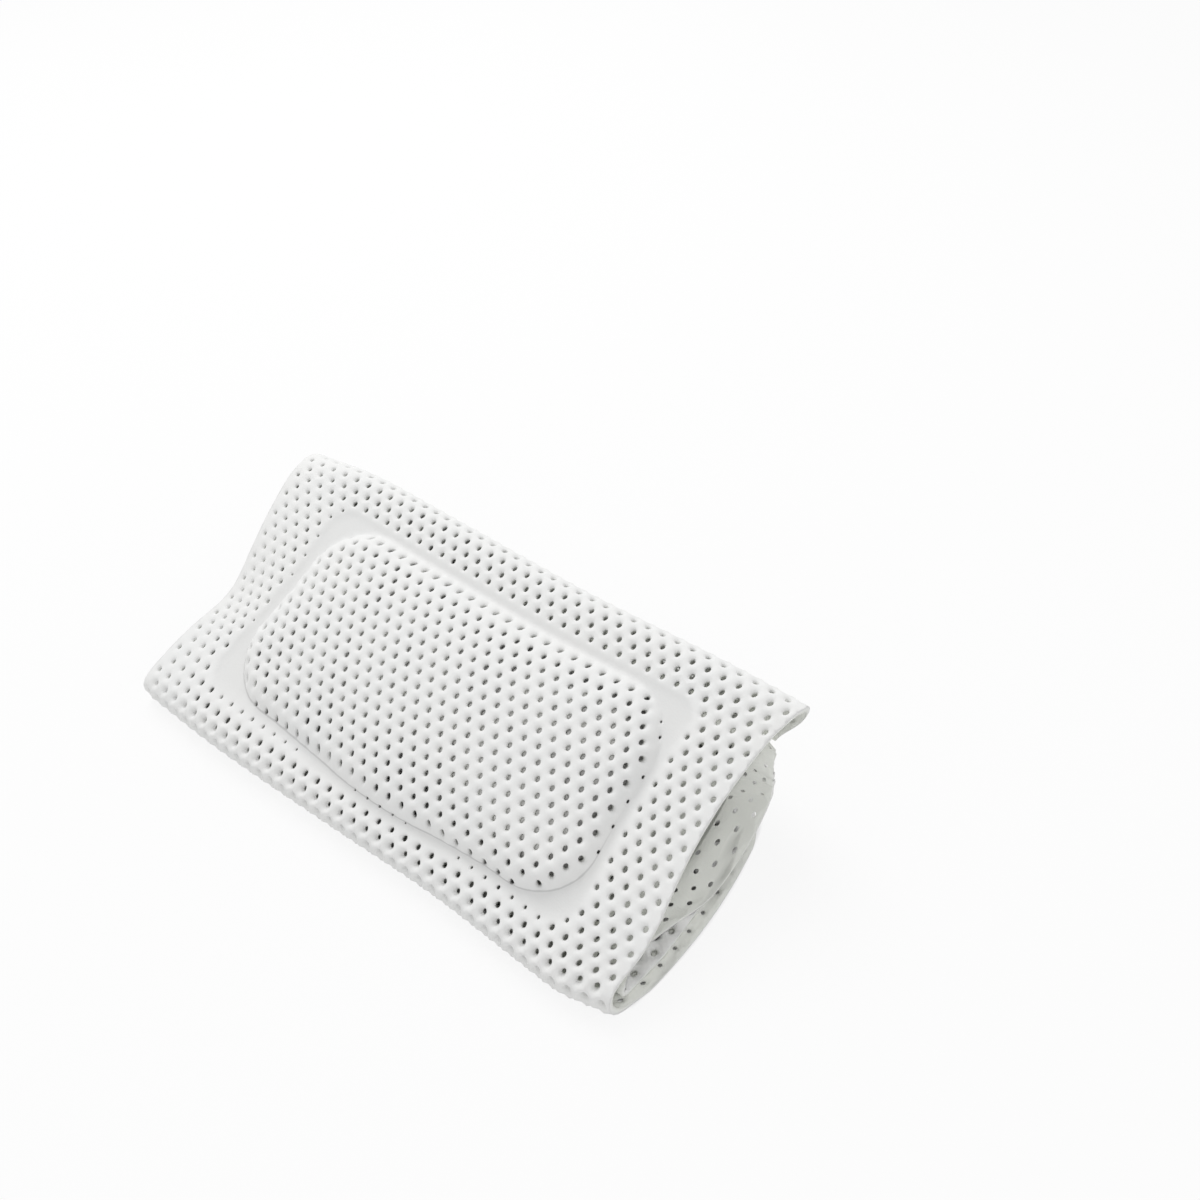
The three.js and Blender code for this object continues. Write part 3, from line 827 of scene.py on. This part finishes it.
def mix_node(tree, share, first, second, blend="MIX"):
    wires = [(0, share), (6, first), (7, second)]
    return add_node(tree, "ShaderNodeMix", wires, 2, data_type="RGBA", blend_type=blend)


def range_node(tree, value, low, high, to_low=0.0, to_high=1.0, kind="LINEAR"):
    wires = [("Value", value), ("From Min", low), ("From Max", high), ("To Min", to_low), ("To Max", to_high)]
    return add_node(tree, "ShaderNodeMapRange", wires, "Result", interpolation_type=kind)


def bump_node(tree, height, strength, depth, wires=(), **settings):
    wires = [("Height", height), ("Strength", strength), ("Distance", depth), *wires]
    return add_node(tree, "ShaderNodeBump", wires, "Normal", **settings)


def foam_material():
    material, tree, shader = new_material("vinyl_foam")
    maths = partial(math_node, tree)
    ranged = partial(range_node, tree, kind="SMOOTHSTEP")

    def marked(label):
        return add_node(tree, "ShaderNodeAttribute", output="Fac", attribute_name=label)

    where = object_place(tree)
    drift = noise_node(tree, where, FOAM_DRIFT, TEXTURE_DETAIL)
    pores = noise_node(tree, where, PORE_SCALE, TEXTURE_DETAIL)
    wires = [("Vector", where), ("Scale", WRINKLE_SCALE), ("Rotation", WRINKLE_SLANT)]
    stretched = add_node(tree, "ShaderNodeMapping", wires, "Vector")
    wrinkles = noise_node(tree, stretched, 1, WRINKLE_DETAIL)
    back = marked("back")
    skin = mix_node(tree, drift, FOAM_WHITE, FOAM_COOL)
    reverse = mix_node(tree, drift, FOAM_REVERSE, FOAM_REVERSE_DARK)
    # Painted shade: a thin dark line in the crease at the dome's foot, at the pad's front only.
    from_crease_shade_line = maths("ABSOLUTE", maths("SUBTRACT", marked("depth"), CREASE_SHADE_DEPTH))
    in_crease_shade = maths("MULTIPLY", ranged(from_crease_shade_line, 0.0, CREASE_SHADE_HALF_WIDTH, 1.0, 0.0), marked("creased"))
    # The reverse's wrinkles are bumps, and their folds also get painted shade.
    wrinkle_folds_and_shade = maths("MULTIPLY", ranged(wrinkles, *WRINKLE_BAND), back)
    shade = ranged(in_crease_shade, 0.0, 1.0, 1.0, PAINTED_CREASE_SHADE)
    for share, darkest in ((marked("welded"), WELD_SHADE), (wrinkle_folds_and_shade, PAINTED_WRINKLE_SHADE)):
        shade = maths("MULTIPLY", shade, ranged(share, 0.0, 1.0, 1.0, darkest))
    folds = bump_node(tree, wrinkle_folds_and_shade, WRINKLE_STRENGTH, WRINKLE_DEPTH, invert=True)
    wire(tree, shader, [
        ("Base Color", mix_node(tree, 1.0, mix_node(tree, back, skin, reverse), shade, "MULTIPLY")),
        ("Specular IOR Level", FOAM_SHINE),
        ("Roughness", ranged(marked("welded"), 0.0, 1.0, FOAM_ROUGHNESS, WELD_ROUGHNESS)),
        ("Normal", bump_node(tree, pores, PORE_STRENGTH, PORE_DEPTH, [("Normal", folds)])),
    ])
    return material


foam = foam_material()

# The padded face
# This is the stretch of the mat that shows most. It is pressed up over the filling into a dome, and
# welded down round it in a plain band, with a holed margin outside. It turns under at the front fold.
FACE_FIRST_ROW = -5
FACE_LAST_ROW = 8
SHOULDER_RUN = 11 * MM
START_SHOULDER = 9 * MM
START_CROWN = 3.5 * MM
CLOTH_STEP = 3 * MM
CLOTH_FRAMES = 20
CLOTH_SETTINGS = {
    "quality": 6, "mass": 0.05, "tension_stiffness": 12, "compression_stiffness": 12, "shear_stiffness": 6,
    "bending_stiffness": 0.6, "use_pressure": True, "uniform_pressure_force": 4,
}
LOOSE_FROM_WELD = 6 * MM
MOST_MOVE = 4 * MM
LEAST_MOVE = 1e-9


def dome(across, along):
    spread, drawn = pad_pull(across, along)
    x = np.clip((across + spread - dome_x) / (dome_width / 2), -1, 1)
    y = np.clip((along + drawn - pad_at) / (PAD_LENGTH / 2), -1, 1)
    depth = np.clip(pad_depth(across, along) / SHOULDER_RUN, 0, 1)
    return np.sqrt(1 - (1 - depth) ** 2) * (START_SHOULDER + START_CROWN * (1 - x * x) * (1 - y * y))


def blow_up(base, loose):
    pin = base.vertex_groups.new(name="welded")
    for index, share in enumerate(loose.ravel()):
        pin.add([index], float(1 - share), "REPLACE")
    cloth = base.modifiers.new("blow_up", "CLOTH")
    for label, value in CLOTH_SETTINGS.items():
        setattr(cloth.settings, label, value)
    cloth.settings.vertex_group_mass = pin.name
    cloth.settings.effector_weights.gravity = 0
    cloth.point_cache.frame_start = 1
    cloth.point_cache.frame_end = CLOTH_FRAMES
    for moment in range(1, CLOTH_FRAMES + 1):
        scene.frame_set(moment)
    graph = bpy.context.evaluated_depsgraph_get()
    blown = base.evaluated_get(graph).to_mesh()
    points = np.zeros(len(blown.vertices) * 3)
    blown.vertices.foreach_get("co", points)
    base.modifiers.clear()
    base.vertex_groups.clear()
    scene.frame_set(1)
    return points.reshape(loose.shape + (3,))


face_ends = row_at(FACE_FIRST_ROW), row_at(FACE_LAST_ROW + 0.5)
face_across, face_along = base_grid(*face_ends, CLOTH_STEP, CLOTH_STEP)
face_points = sheet_point(face_across, face_along)
face_normals = surface_normals(face_points)
face_rise = dome(face_across, face_along) + weld_groove(face_across, face_along)
face_points = face_points + face_normals * face_rise[..., None]
face_base = base_object("padded_face_base", face_across, face_along, face_points)

loose = smooth(0, LOOSE_FROM_WELD, pad_depth(face_across, face_along))
moves = blow_up(face_base[0], loose) - face_points
distances = np.linalg.norm(moves, axis=-1, keepdims=True)
moves = moves * np.minimum(1, MOST_MOVE / np.maximum(distances, LEAST_MOVE))
face_points = face_points + moves
face_rise = face_rise + np.sum(moves * face_normals, axis=-1)
face_base[0].data.vertices.foreach_set("co", face_points.ravel())
face_base[0].data.update()

padded_face = perforate("padded_face", face_base, fine_cell, (FACE_FIRST_ROW, FACE_LAST_ROW), foam,
                        smoothing=1)
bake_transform(padded_face)
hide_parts("pillow_cover")

# The filling
# A block of soft open-celled foam under the dome holds it up. It is cut to the dome's outline, a little
# smaller, and lies loose between the cover and the backing film. Its cells have painted shade in their
# hollows.
FILLING_SHADE = (0.96, 0.955, 0.94, 1)
FILLING_HOLLOW_SHADE = (0.92, 0.915, 0.90, 1)
FILLING_CELLS = 700
FILLING_CELL_DEPTH = 0.5 * MM
FILLING_RINGS = 24
FILLING_GAP = 0.3 * MM
FILLING_UNDER = 0.2 * MM
FILLING_SLACK = 4 * MM
FILLING_TAUT = mm(5, 17)
OUTLINE_STEPS = 18
SETTLE_ROUNDS = 4
NORMAL_STEP = 0.5 * MM
BODY_SHARP = math.radians(50)
CELL_ROUGHNESS = 0.95
CELL_SHINE = 0.1
CELL_STRENGTH = 0.6


def pad_outline(grow, corner):
    width, length = dome_width / 2 + grow - corner, PAD_LENGTH / 2 + grow - corner
    outline = []
    for side_x, side_y, start in ((1, 1, 0), (-1, 1, 0.5), (-1, -1, 1), (1, -1, 1.5)):
        for share in np.linspace(0, 0.5, OUTLINE_STEPS):
            x, y = corner * heading(math.pi * (start + share))
            outline.append((side_x * width + x, side_y * length + y))
    return np.array(outline)


def pad_body(name, outline, levels, rings):
    shares = np.sqrt(np.linspace(0, 1, rings + 1)[1:])
    flat = np.concatenate([[(0, 0)], (shares[:, None, None] * outline).reshape(-1, 2)])
    across, along = flat[:, 0] + dome_x, flat[:, 1] + pad_at
    for settling in range(SETTLE_ROUNDS):
        spread, drawn = pad_pull(across, along)
        across, along = flat[:, 0] + dome_x - spread, flat[:, 1] + pad_at - drawn
    middle = sheet_point(across, along)
    beside = sheet_point(across + NORMAL_STEP, along) - middle
    beyond = sheet_point(across, along + NORMAL_STEP) - middle
    normals = np.cross(beyond, beside)
    normals = normals / np.linalg.norm(normals, axis=1, keepdims=True)
    points = np.concatenate([middle + normals * level[:, None] for level in levels(across, along)])
    sides, count = len(outline), len(flat)
    faces = []
    for side in range(sides):
        after = (side + 1) % sides
        faces.append((0, 1 + after, 1 + side))
        faces.append((count, count + 1 + side, count + 1 + after))
        for ring in range(rings - 1):
            low, high = 1 + ring * sides, 1 + (ring + 1) * sides
            faces.append((low + side, low + after, high + after, high + side))
            faces.append((count + low + after, count + low + side, count + high + side, count + high + after))
        rim = 1 + (rings - 1) * sides
        faces.append((rim + side, rim + after, count + rim + after, count + rim + side))
    mesh = smooth_mesh(name, points.tolist(), faces)
    mesh.set_sharp_from_angle(angle=BODY_SHARP)
    return put_in_scene(name, mesh)


def cellular_material(name, shade, hollow_shade, scale, depth):
    material, tree, shader = new_material(name)
    wires = [("Vector", object_place(tree)), ("Scale", scale)]
    bubbles = add_node(tree, "ShaderNodeTexVoronoi", wires, "Distance")
    wire(tree, shader, [
        # The cells' hollows are painted darker, as shade, besides the bump.
        ("Base Color", mix_node(tree, bubbles, hollow_shade, shade)),
        ("Roughness", CELL_ROUGHNESS),
        ("Specular IOR Level", CELL_SHINE),
        ("Normal", bump_node(tree, bubbles, CELL_STRENGTH, depth)),
    ])
    return material


def face_height(across, along):
    column = (across - face_across[0, 0]) / CLOTH_STEP
    row = (along - face_along[0, 0]) / CLOTH_STEP
    left, low = column.astype(int), row.astype(int)
    right_share, high_share = column - left, row - low
    near = face_rise[left, low] * (1 - high_share) + face_rise[left, low + 1] * high_share
    far = face_rise[left + 1, low] * (1 - high_share) + face_rise[left + 1, low + 1] * high_share
    return near * (1 - right_share) + far * right_share


def filling_levels(across, along):
    slack = FILLING_SLACK * (1 - smooth(*FILLING_TAUT, pad_depth(across, along)))
    highest = face_height(across, along) - half_thickness - FILLING_GAP - slack
    return np.maximum(highest, under), np.full(across.shape, under - FILLING_UNDER)


filling_outline = pad_outline(-FILLING_INSET, PAD_CORNER - FILLING_INSET)
filling = pad_body("filling", filling_outline, filling_levels, FILLING_RINGS)
filling.data.materials.append(cellular_material("open_foam", FILLING_SHADE, FILLING_HOLLOW_SHADE,
                                                FILLING_CELLS, FILLING_CELL_DEPTH))
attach(filling, "pillow")
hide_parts("pad_filling")

# The backing film
# A thin film of grey embossed vinyl closes the pad from behind. It is welded to the cover's reverse all
# round the pad and keeps the filling in. Its emboss has painted shade in the hollows as well as bumps.
BACKING_THICKNESS = 0.8 * MM
BACKING_LEVEL = -2.5 * MM
BACKING_SHADE = (0.60, 0.61, 0.58, 1)
BACKING_HOLLOW_SHADE = (0.52, 0.53, 0.51, 1)
BACKING_CELLS = 900
BACKING_CELL_DEPTH = 0.15 * MM
BACKING_RINGS = 40
BACKING_GROW = 5.5 * MM


def backing_levels(across, along):
    level = BACKING_LEVEL + weld_groove(across, along)
    return level + BACKING_THICKNESS / 2, level - BACKING_THICKNESS / 2


backing_outline = pad_outline(BACKING_GROW, PAD_CORNER + BACKING_GROW)
backing = pad_body("backing_film", backing_outline, backing_levels, BACKING_RINGS)
film = cellular_material("embossed_film", BACKING_SHADE, BACKING_HOLLOW_SHADE, BACKING_CELLS, BACKING_CELL_DEPTH)
backing.data.materials.append(film)
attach(backing, "pillow")
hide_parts("pad_backing")

# The suction cups
# Six clear vinyl cups hold the pillow to the tub. Each is moulded in one piece with its stem, which
# is welded to a round base disc, and the discs are welded to the backing film.
CUP_COUNT = 6
CUP_SIDES = 48
CUP_SHARP = math.radians(40)
CUP_HEIGHT = 8 * MM
CUP_HOLLOW = 3.5 * MM
CUP_HOLLOW_CURVE = 2.4
CUP_HOLLOW_SHARES = (0, 0.25, 0.45, 0.62, 0.77, 0.88)
CUP_LIP = 0.9 * MM
CUP_EDGE = 0.3 * MM
CUP_LIP_TOP = mm(0.5, 1.2)
CUP_STEM_RADIUS = 5.5 * MM
CUP_STEM_FROM = 5.6 * MM
CUP_BELL = [mm(13, 2.2), mm(10.5, 3.5), mm(8, 4.4), mm(6.4, 4.9)]
VINYL_TINT = (0.86, 0.90, 0.90, 1)
VINYL_CLEAR = 0.8
VINYL_IOR = 1.5
VINYL_HAZE = 160
VINYL_HAZE_DETAIL = 2
VINYL_ROUGHNESS = (0.10, 0.26)
slope_normal = Vector((0, -math.sin(tilt), math.cos(tilt)))


def turned(name, outline):
    form = bmesh.new()
    rings = []
    for radius, height in outline:
        if radius == 0:
            rings.append([form.verts.new((0, 0, height))] * CUP_SIDES)
        else:
            places = [radius * heading(2 * math.pi * side / CUP_SIDES) for side in range(CUP_SIDES)]
            rings.append([form.verts.new((x, y, height)) for x, y in places])
    for low, high in zip(rings, rings[1:]):
        for side in range(CUP_SIDES):
            after = (side + 1) % CUP_SIDES
            corners = [low[side], low[after], high[after], high[side]]
            form.faces.new(list(dict.fromkeys(corners))).smooth = True
    bmesh.ops.recalc_face_normals(form, faces=form.faces)
    mesh = bpy.data.meshes.new(name)
    form.to_mesh(mesh)
    form.free()
    mesh.set_sharp_from_angle(angle=CUP_SHARP)
    return put_in_scene(name, mesh)


def cup_places(name):
    places = []
    for number in range(1, CUP_COUNT + 1):
        low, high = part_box(f"{name}_{number}")
        centre = (low + high) / 2
        along = length_at(np.array([centre.y, centre.z]))
        strayed = Vector(sheet_point(np.array([centre.x]), np.array([along]))[0])
        straight = Vector((centre.x, *path_point(along)))
        places.append(centre + slope_normal * (strayed - straight).dot(slope_normal))
    return places


def set_out_nodes():
    sockets = {"Places": "Geometry", "Form": "Object", "Tilt": "Float", "Finish": "Material"}
    tree, given, result = new_tree("set_out_on_slope", sockets, "Pieces")
    add = partial(add_node, tree)
    form = add("GeometryNodeObjectInfo", [("Object", given["Form"]), ("As Instance", True)], "Geometry")
    turn = add("ShaderNodeCombineXYZ", [(0, given["Tilt"])])
    wires = [("Points", given["Places"]), ("Instance", form), ("Rotation", turn)]
    spread = add("GeometryNodeInstanceOnPoints", wires)
    real = add("GeometryNodeRealizeInstances", [(0, spread)])
    finish = add("GeometryNodeSetMaterial", [("Geometry", real), ("Material", given["Finish"])])
    wire(tree, result, [(0, finish)])
    return tree


set_out = set_out_nodes()


def set_out_on_slope(name, form, places, material):
    mesh = bpy.data.meshes.new(name + "_places")
    mesh.from_pydata(places, [], [])
    holder = put_in_scene(name + "_places", mesh)
    values = {"Form": form, "Tilt": tilt, "Finish": material}
    pieces = put_in_scene(name, made_by_nodes(name, holder, set_out, values))
    bpy.data.objects.remove(form)
    return pieces


def clear_vinyl_material():
    material, tree, shader = new_material("clear_vinyl")
    haze = noise_node(tree, object_place(tree), VINYL_HAZE, VINYL_HAZE_DETAIL)
    wire(tree, shader, [
        ("Base Color", VINYL_TINT),
        ("Transmission Weight", VINYL_CLEAR),
        ("IOR", VINYL_IOR),
        ("Roughness", range_node(tree, haze, 0.0, 1.0, *VINYL_ROUGHNESS)),
    ])
    return material


base_low, base_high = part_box("cup_base_1")
base_radius = (base_high.x - base_low.x) / 2
base_half = ((base_high.z - base_low.z) / math.cos(tilt) - 2 * base_radius * math.tan(tilt)) / 2
base_outline = [
    (0, -base_half), (base_radius - CUP_EDGE, -base_half), (base_radius, -base_half + CUP_EDGE),
    (base_radius, base_half - CUP_EDGE), (base_radius - CUP_EDGE, base_half), (0, base_half),
]
bases = set_out_on_slope("cup_bases", turned("base_form", base_outline), cup_places("cup_base"), film)
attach(bases, "pillow")
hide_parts(*[f"cup_base_{number}" for number in range(1, CUP_COUNT + 1)])

cup_low, cup_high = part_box("suction_cup_1")
cup_radius = (cup_high.x - cup_low.x) / 2
cup_outline = []
for share in CUP_HOLLOW_SHARES:
    cup_outline.append((cup_radius * share, CUP_HOLLOW * (1 - share ** CUP_HOLLOW_CURVE)))
cup_outline += [(cup_radius - CUP_LIP, 0), (cup_radius - CUP_EDGE, 0), (cup_radius, CUP_EDGE)]
cup_outline += [(cup_radius, CUP_LIP), (cup_radius - CUP_LIP_TOP[0], CUP_LIP_TOP[1])]
cup_outline += CUP_BELL
cup_outline += [(CUP_STEM_RADIUS, CUP_STEM_FROM), (CUP_STEM_RADIUS, CUP_HEIGHT - CUP_EDGE)]
cup_outline += [(CUP_STEM_RADIUS - CUP_EDGE, CUP_HEIGHT), (0, CUP_HEIGHT)]
cup_outline = [(radius, height - CUP_HEIGHT / 2) for radius, height in cup_outline]
cups = set_out_on_slope("suction_cups", turned("cup_form", cup_outline), cup_places("suction_cup"),
                        clear_vinyl_material())
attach(cups, "pillow")
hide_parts(*[f"suction_cup_{number}" for number in range(1, CUP_COUNT + 1)])

# The crest and the head flap
# Above the padded face the same foam sheet rolls over the crest, and its head end, cut straight, hangs
# down loose behind.
FLAP_FIRST_ROW = -10
FLAP_STEPS = mm(4, 2)


def holed_run(name, cell, rows, reach, steps, lift=None, ends=(-FAR, FAR)):
    across, along = base_grid(*reach, *steps)
    points = sheet_point(across, along)
    if lift:
        points = points + surface_normals(points) * lift(across, along)[..., None]
    base = base_object(name + "_base", across, along, points)
    return perforate(name, base, cell, rows, foam, ends=ends)


crest_flap = holed_run("crest_and_flap", fine_cell, (FLAP_FIRST_ROW, FACE_FIRST_ROW - 1),
                       (head_edge, row_at(FACE_FIRST_ROW)), FLAP_STEPS, weld_groove, ends=(head_edge, FAR))
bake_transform(crest_flap)
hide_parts("head_flap")

# The bottom of the fold
# The same foam sheet, turned under at the front, lies flat on the floor with its holed side down and its
# smooth reverse up.
BOTTOM_LAST_ROW = 17
BOTTOM_STEPS = mm(5, 2)
bottom = holed_run("bottom_layer", fine_cell, (FACE_LAST_ROW + 1, BOTTOM_LAST_ROW),
                   (row_at(FACE_LAST_ROW + 1), row_at(BOTTOM_LAST_ROW + 0.5)), BOTTOM_STEPS)
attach(bottom, "mat")
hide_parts("bottom_sheet")

# The folded tail
# Behind, the sheet turns up in a tight fold, runs forward on the bottom layer, turns back in a small
# hairpin at the front and rises to the roll, smooth side up.
TAIL_LAST_ROW = 36
TAIL_STEPS = mm(6, 1)
tail = holed_run("folded_tail", coarse_cell, (BOTTOM_LAST_ROW + 1, TAIL_LAST_ROW),
                 (row_at(BOTTOM_LAST_ROW + 1), row_at(TAIL_LAST_ROW + 0.5)), TAIL_STEPS)
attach(tail, "mat")
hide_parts("rear_fold", "inner_lower_run", "hairpin_fold", "inner_upper_run")

# The rolled end
# The last of the foam sheet is rolled up loosely under the crest and props it. Nothing fixes it there but
# the sheet that lies over it.
ROLL_LAST_ROW = math.floor((end_at - pad_at) / PITCH_ALONG)
ROLL_STEPS = mm(6, 1.2)
roll = holed_run("rolled_tail", coarse_cell, (TAIL_LAST_ROW + 1, ROLL_LAST_ROW),
                 (row_at(TAIL_LAST_ROW + 1), end_at), ROLL_STEPS, ends=(-FAR, row_at(ROLL_LAST_ROW)))
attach(roll, "mat")
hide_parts("rolled_end")

for form in (fine_cell, coarse_cell, plain_cell):
    bpy.data.objects.remove(form)

# The floor and the light
# A white paper floor runs on past the picture. To the camera it glows, except under the pillow, because
# the photograph's background is cut out white. One wide soft lamp hangs behind, in even light all round.
FLOOR_REACH = 6
PAPER_SHADE = (0.86, 0.86, 0.86, 1)
PAPER_ROUGHNESS = 0.9
PAPER_GLOW = 0.84
PURE_WHITE = (1, 1, 1, 1)
FOOTPRINT_FRONT = mm(-74.5, -71)
FOOTPRINT_RIGHT = mm(181, 177)
FOOTPRINT_REAR = mm(64, 56)
FOOTPRINT_LEFT = mm(-164, -156)
FOOTPRINT_RIGHT_CURVE = 1.9
FOOTPRINT_TIP_FROM = 120 * MM
FOOTPRINT_TIP_SLANT = 0.2
WORLD_STRENGTH = 0.78
LAMP_PLACE = Vector((-0.9, 0.6, 1.6))
LAMP_AIM = Vector((0, 0, 0.04))
LAMP_SIZE = 1.1
LAMP_POWER = 12.5


def paper_material():
    material, tree, shader = new_material("white_paper")
    maths = partial(math_node, tree)
    x, y = parts_of(tree, object_place(tree))[:2]
    tip = maths("MAXIMUM", maths("SUBTRACT", x, FOOTPRINT_TIP_FROM), 0.0)
    from_front = maths("SUBTRACT", y, maths("MULTIPLY", tip, FOOTPRINT_TIP_SLANT))
    from_right = maths("ADD", x, maths("MULTIPLY", maths("MULTIPLY", y, y), FOOTPRINT_RIGHT_CURVE))
    footprint = range_node(tree, from_front, *FOOTPRINT_FRONT)
    for value, edge in ((from_right, FOOTPRINT_RIGHT), (y, FOOTPRINT_REAR), (x, FOOTPRINT_LEFT)):
        footprint = maths("MULTIPLY", footprint, range_node(tree, value, *edge))
    glowing = maths("MULTIPLY", maths("SUBTRACT", 1.0, footprint), PAPER_GLOW)
    seen = add_node(tree, "ShaderNodeLightPath", output="Is Camera Ray")
    glow = add_node(tree, "ShaderNodeEmission", [("Color", PURE_WHITE)])
    wire(tree, shader, [("Base Color", PAPER_SHADE), ("Roughness", PAPER_ROUGHNESS)])
    wires = [(0, maths("MULTIPLY", seen, glowing)), (1, shader.outputs[0]), (2, glow)]
    mixed = add_node(tree, "ShaderNodeMixShader", wires)
    wire(tree, tree.nodes["Material Output"], [("Surface", mixed)])
    return material


floor_mesh = bpy.data.meshes.new("floor")
floor_corners = [(x * FLOOR_REACH, y * FLOOR_REACH, 0) for x, y in ((-1, -1), (1, -1), (1, 1), (-1, 1))]
floor_mesh.from_pydata(floor_corners, [], [(0, 1, 2, 3)])
floor_mesh.materials.append(paper_material())
floor = put_in_scene("floor", floor_mesh)

world = bpy.data.worlds.new("studio")
world.use_nodes = True
background = world.node_tree.nodes["Background"]
wire(world.node_tree, background, [("Color", PURE_WHITE), ("Strength", WORLD_STRENGTH)])
scene.world = world

light = bpy.data.lights.new("overhead", "AREA")
light.shape = "DISK"
light.size = LAMP_SIZE
light.energy = LAMP_POWER
lamp = put_in_scene("overhead", light)
lamp.location = LAMP_PLACE
lamp.rotation_euler = (LAMP_AIM - LAMP_PLACE).to_track_quat("-Z", "Y").to_euler()

# The camera
# It looks down from the front right, as in the photograph. Its place and lens were fitted to the grid of
# holes there.
CAMERA_PLACE = (0.2585, -0.2007, 0.4723)
CAMERA_RIGHT = (0.7981, 0.6026, 0)
CAMERA_UP = (-0.4468, 0.5918, 0.6711)
CAMERA_BACK = (0.4044, -0.5355, 0.7415)
CAMERA_LENS = 28.56
CAMERA_SENSOR = 36
CAMERA_NEAREST = 0.01
eye = bpy.data.cameras.new("camera")
eye.lens = CAMERA_LENS
eye.sensor_width = CAMERA_SENSOR
eye.clip_start = CAMERA_NEAREST
camera = put_in_scene("camera", eye)
turn = Matrix((CAMERA_RIGHT, CAMERA_UP, CAMERA_BACK)).transposed()
camera.matrix_world = Matrix.Translation(CAMERA_PLACE) @ turn.to_4x4()
scene.camera = camera
scene.view_settings.view_transform = "Standard"
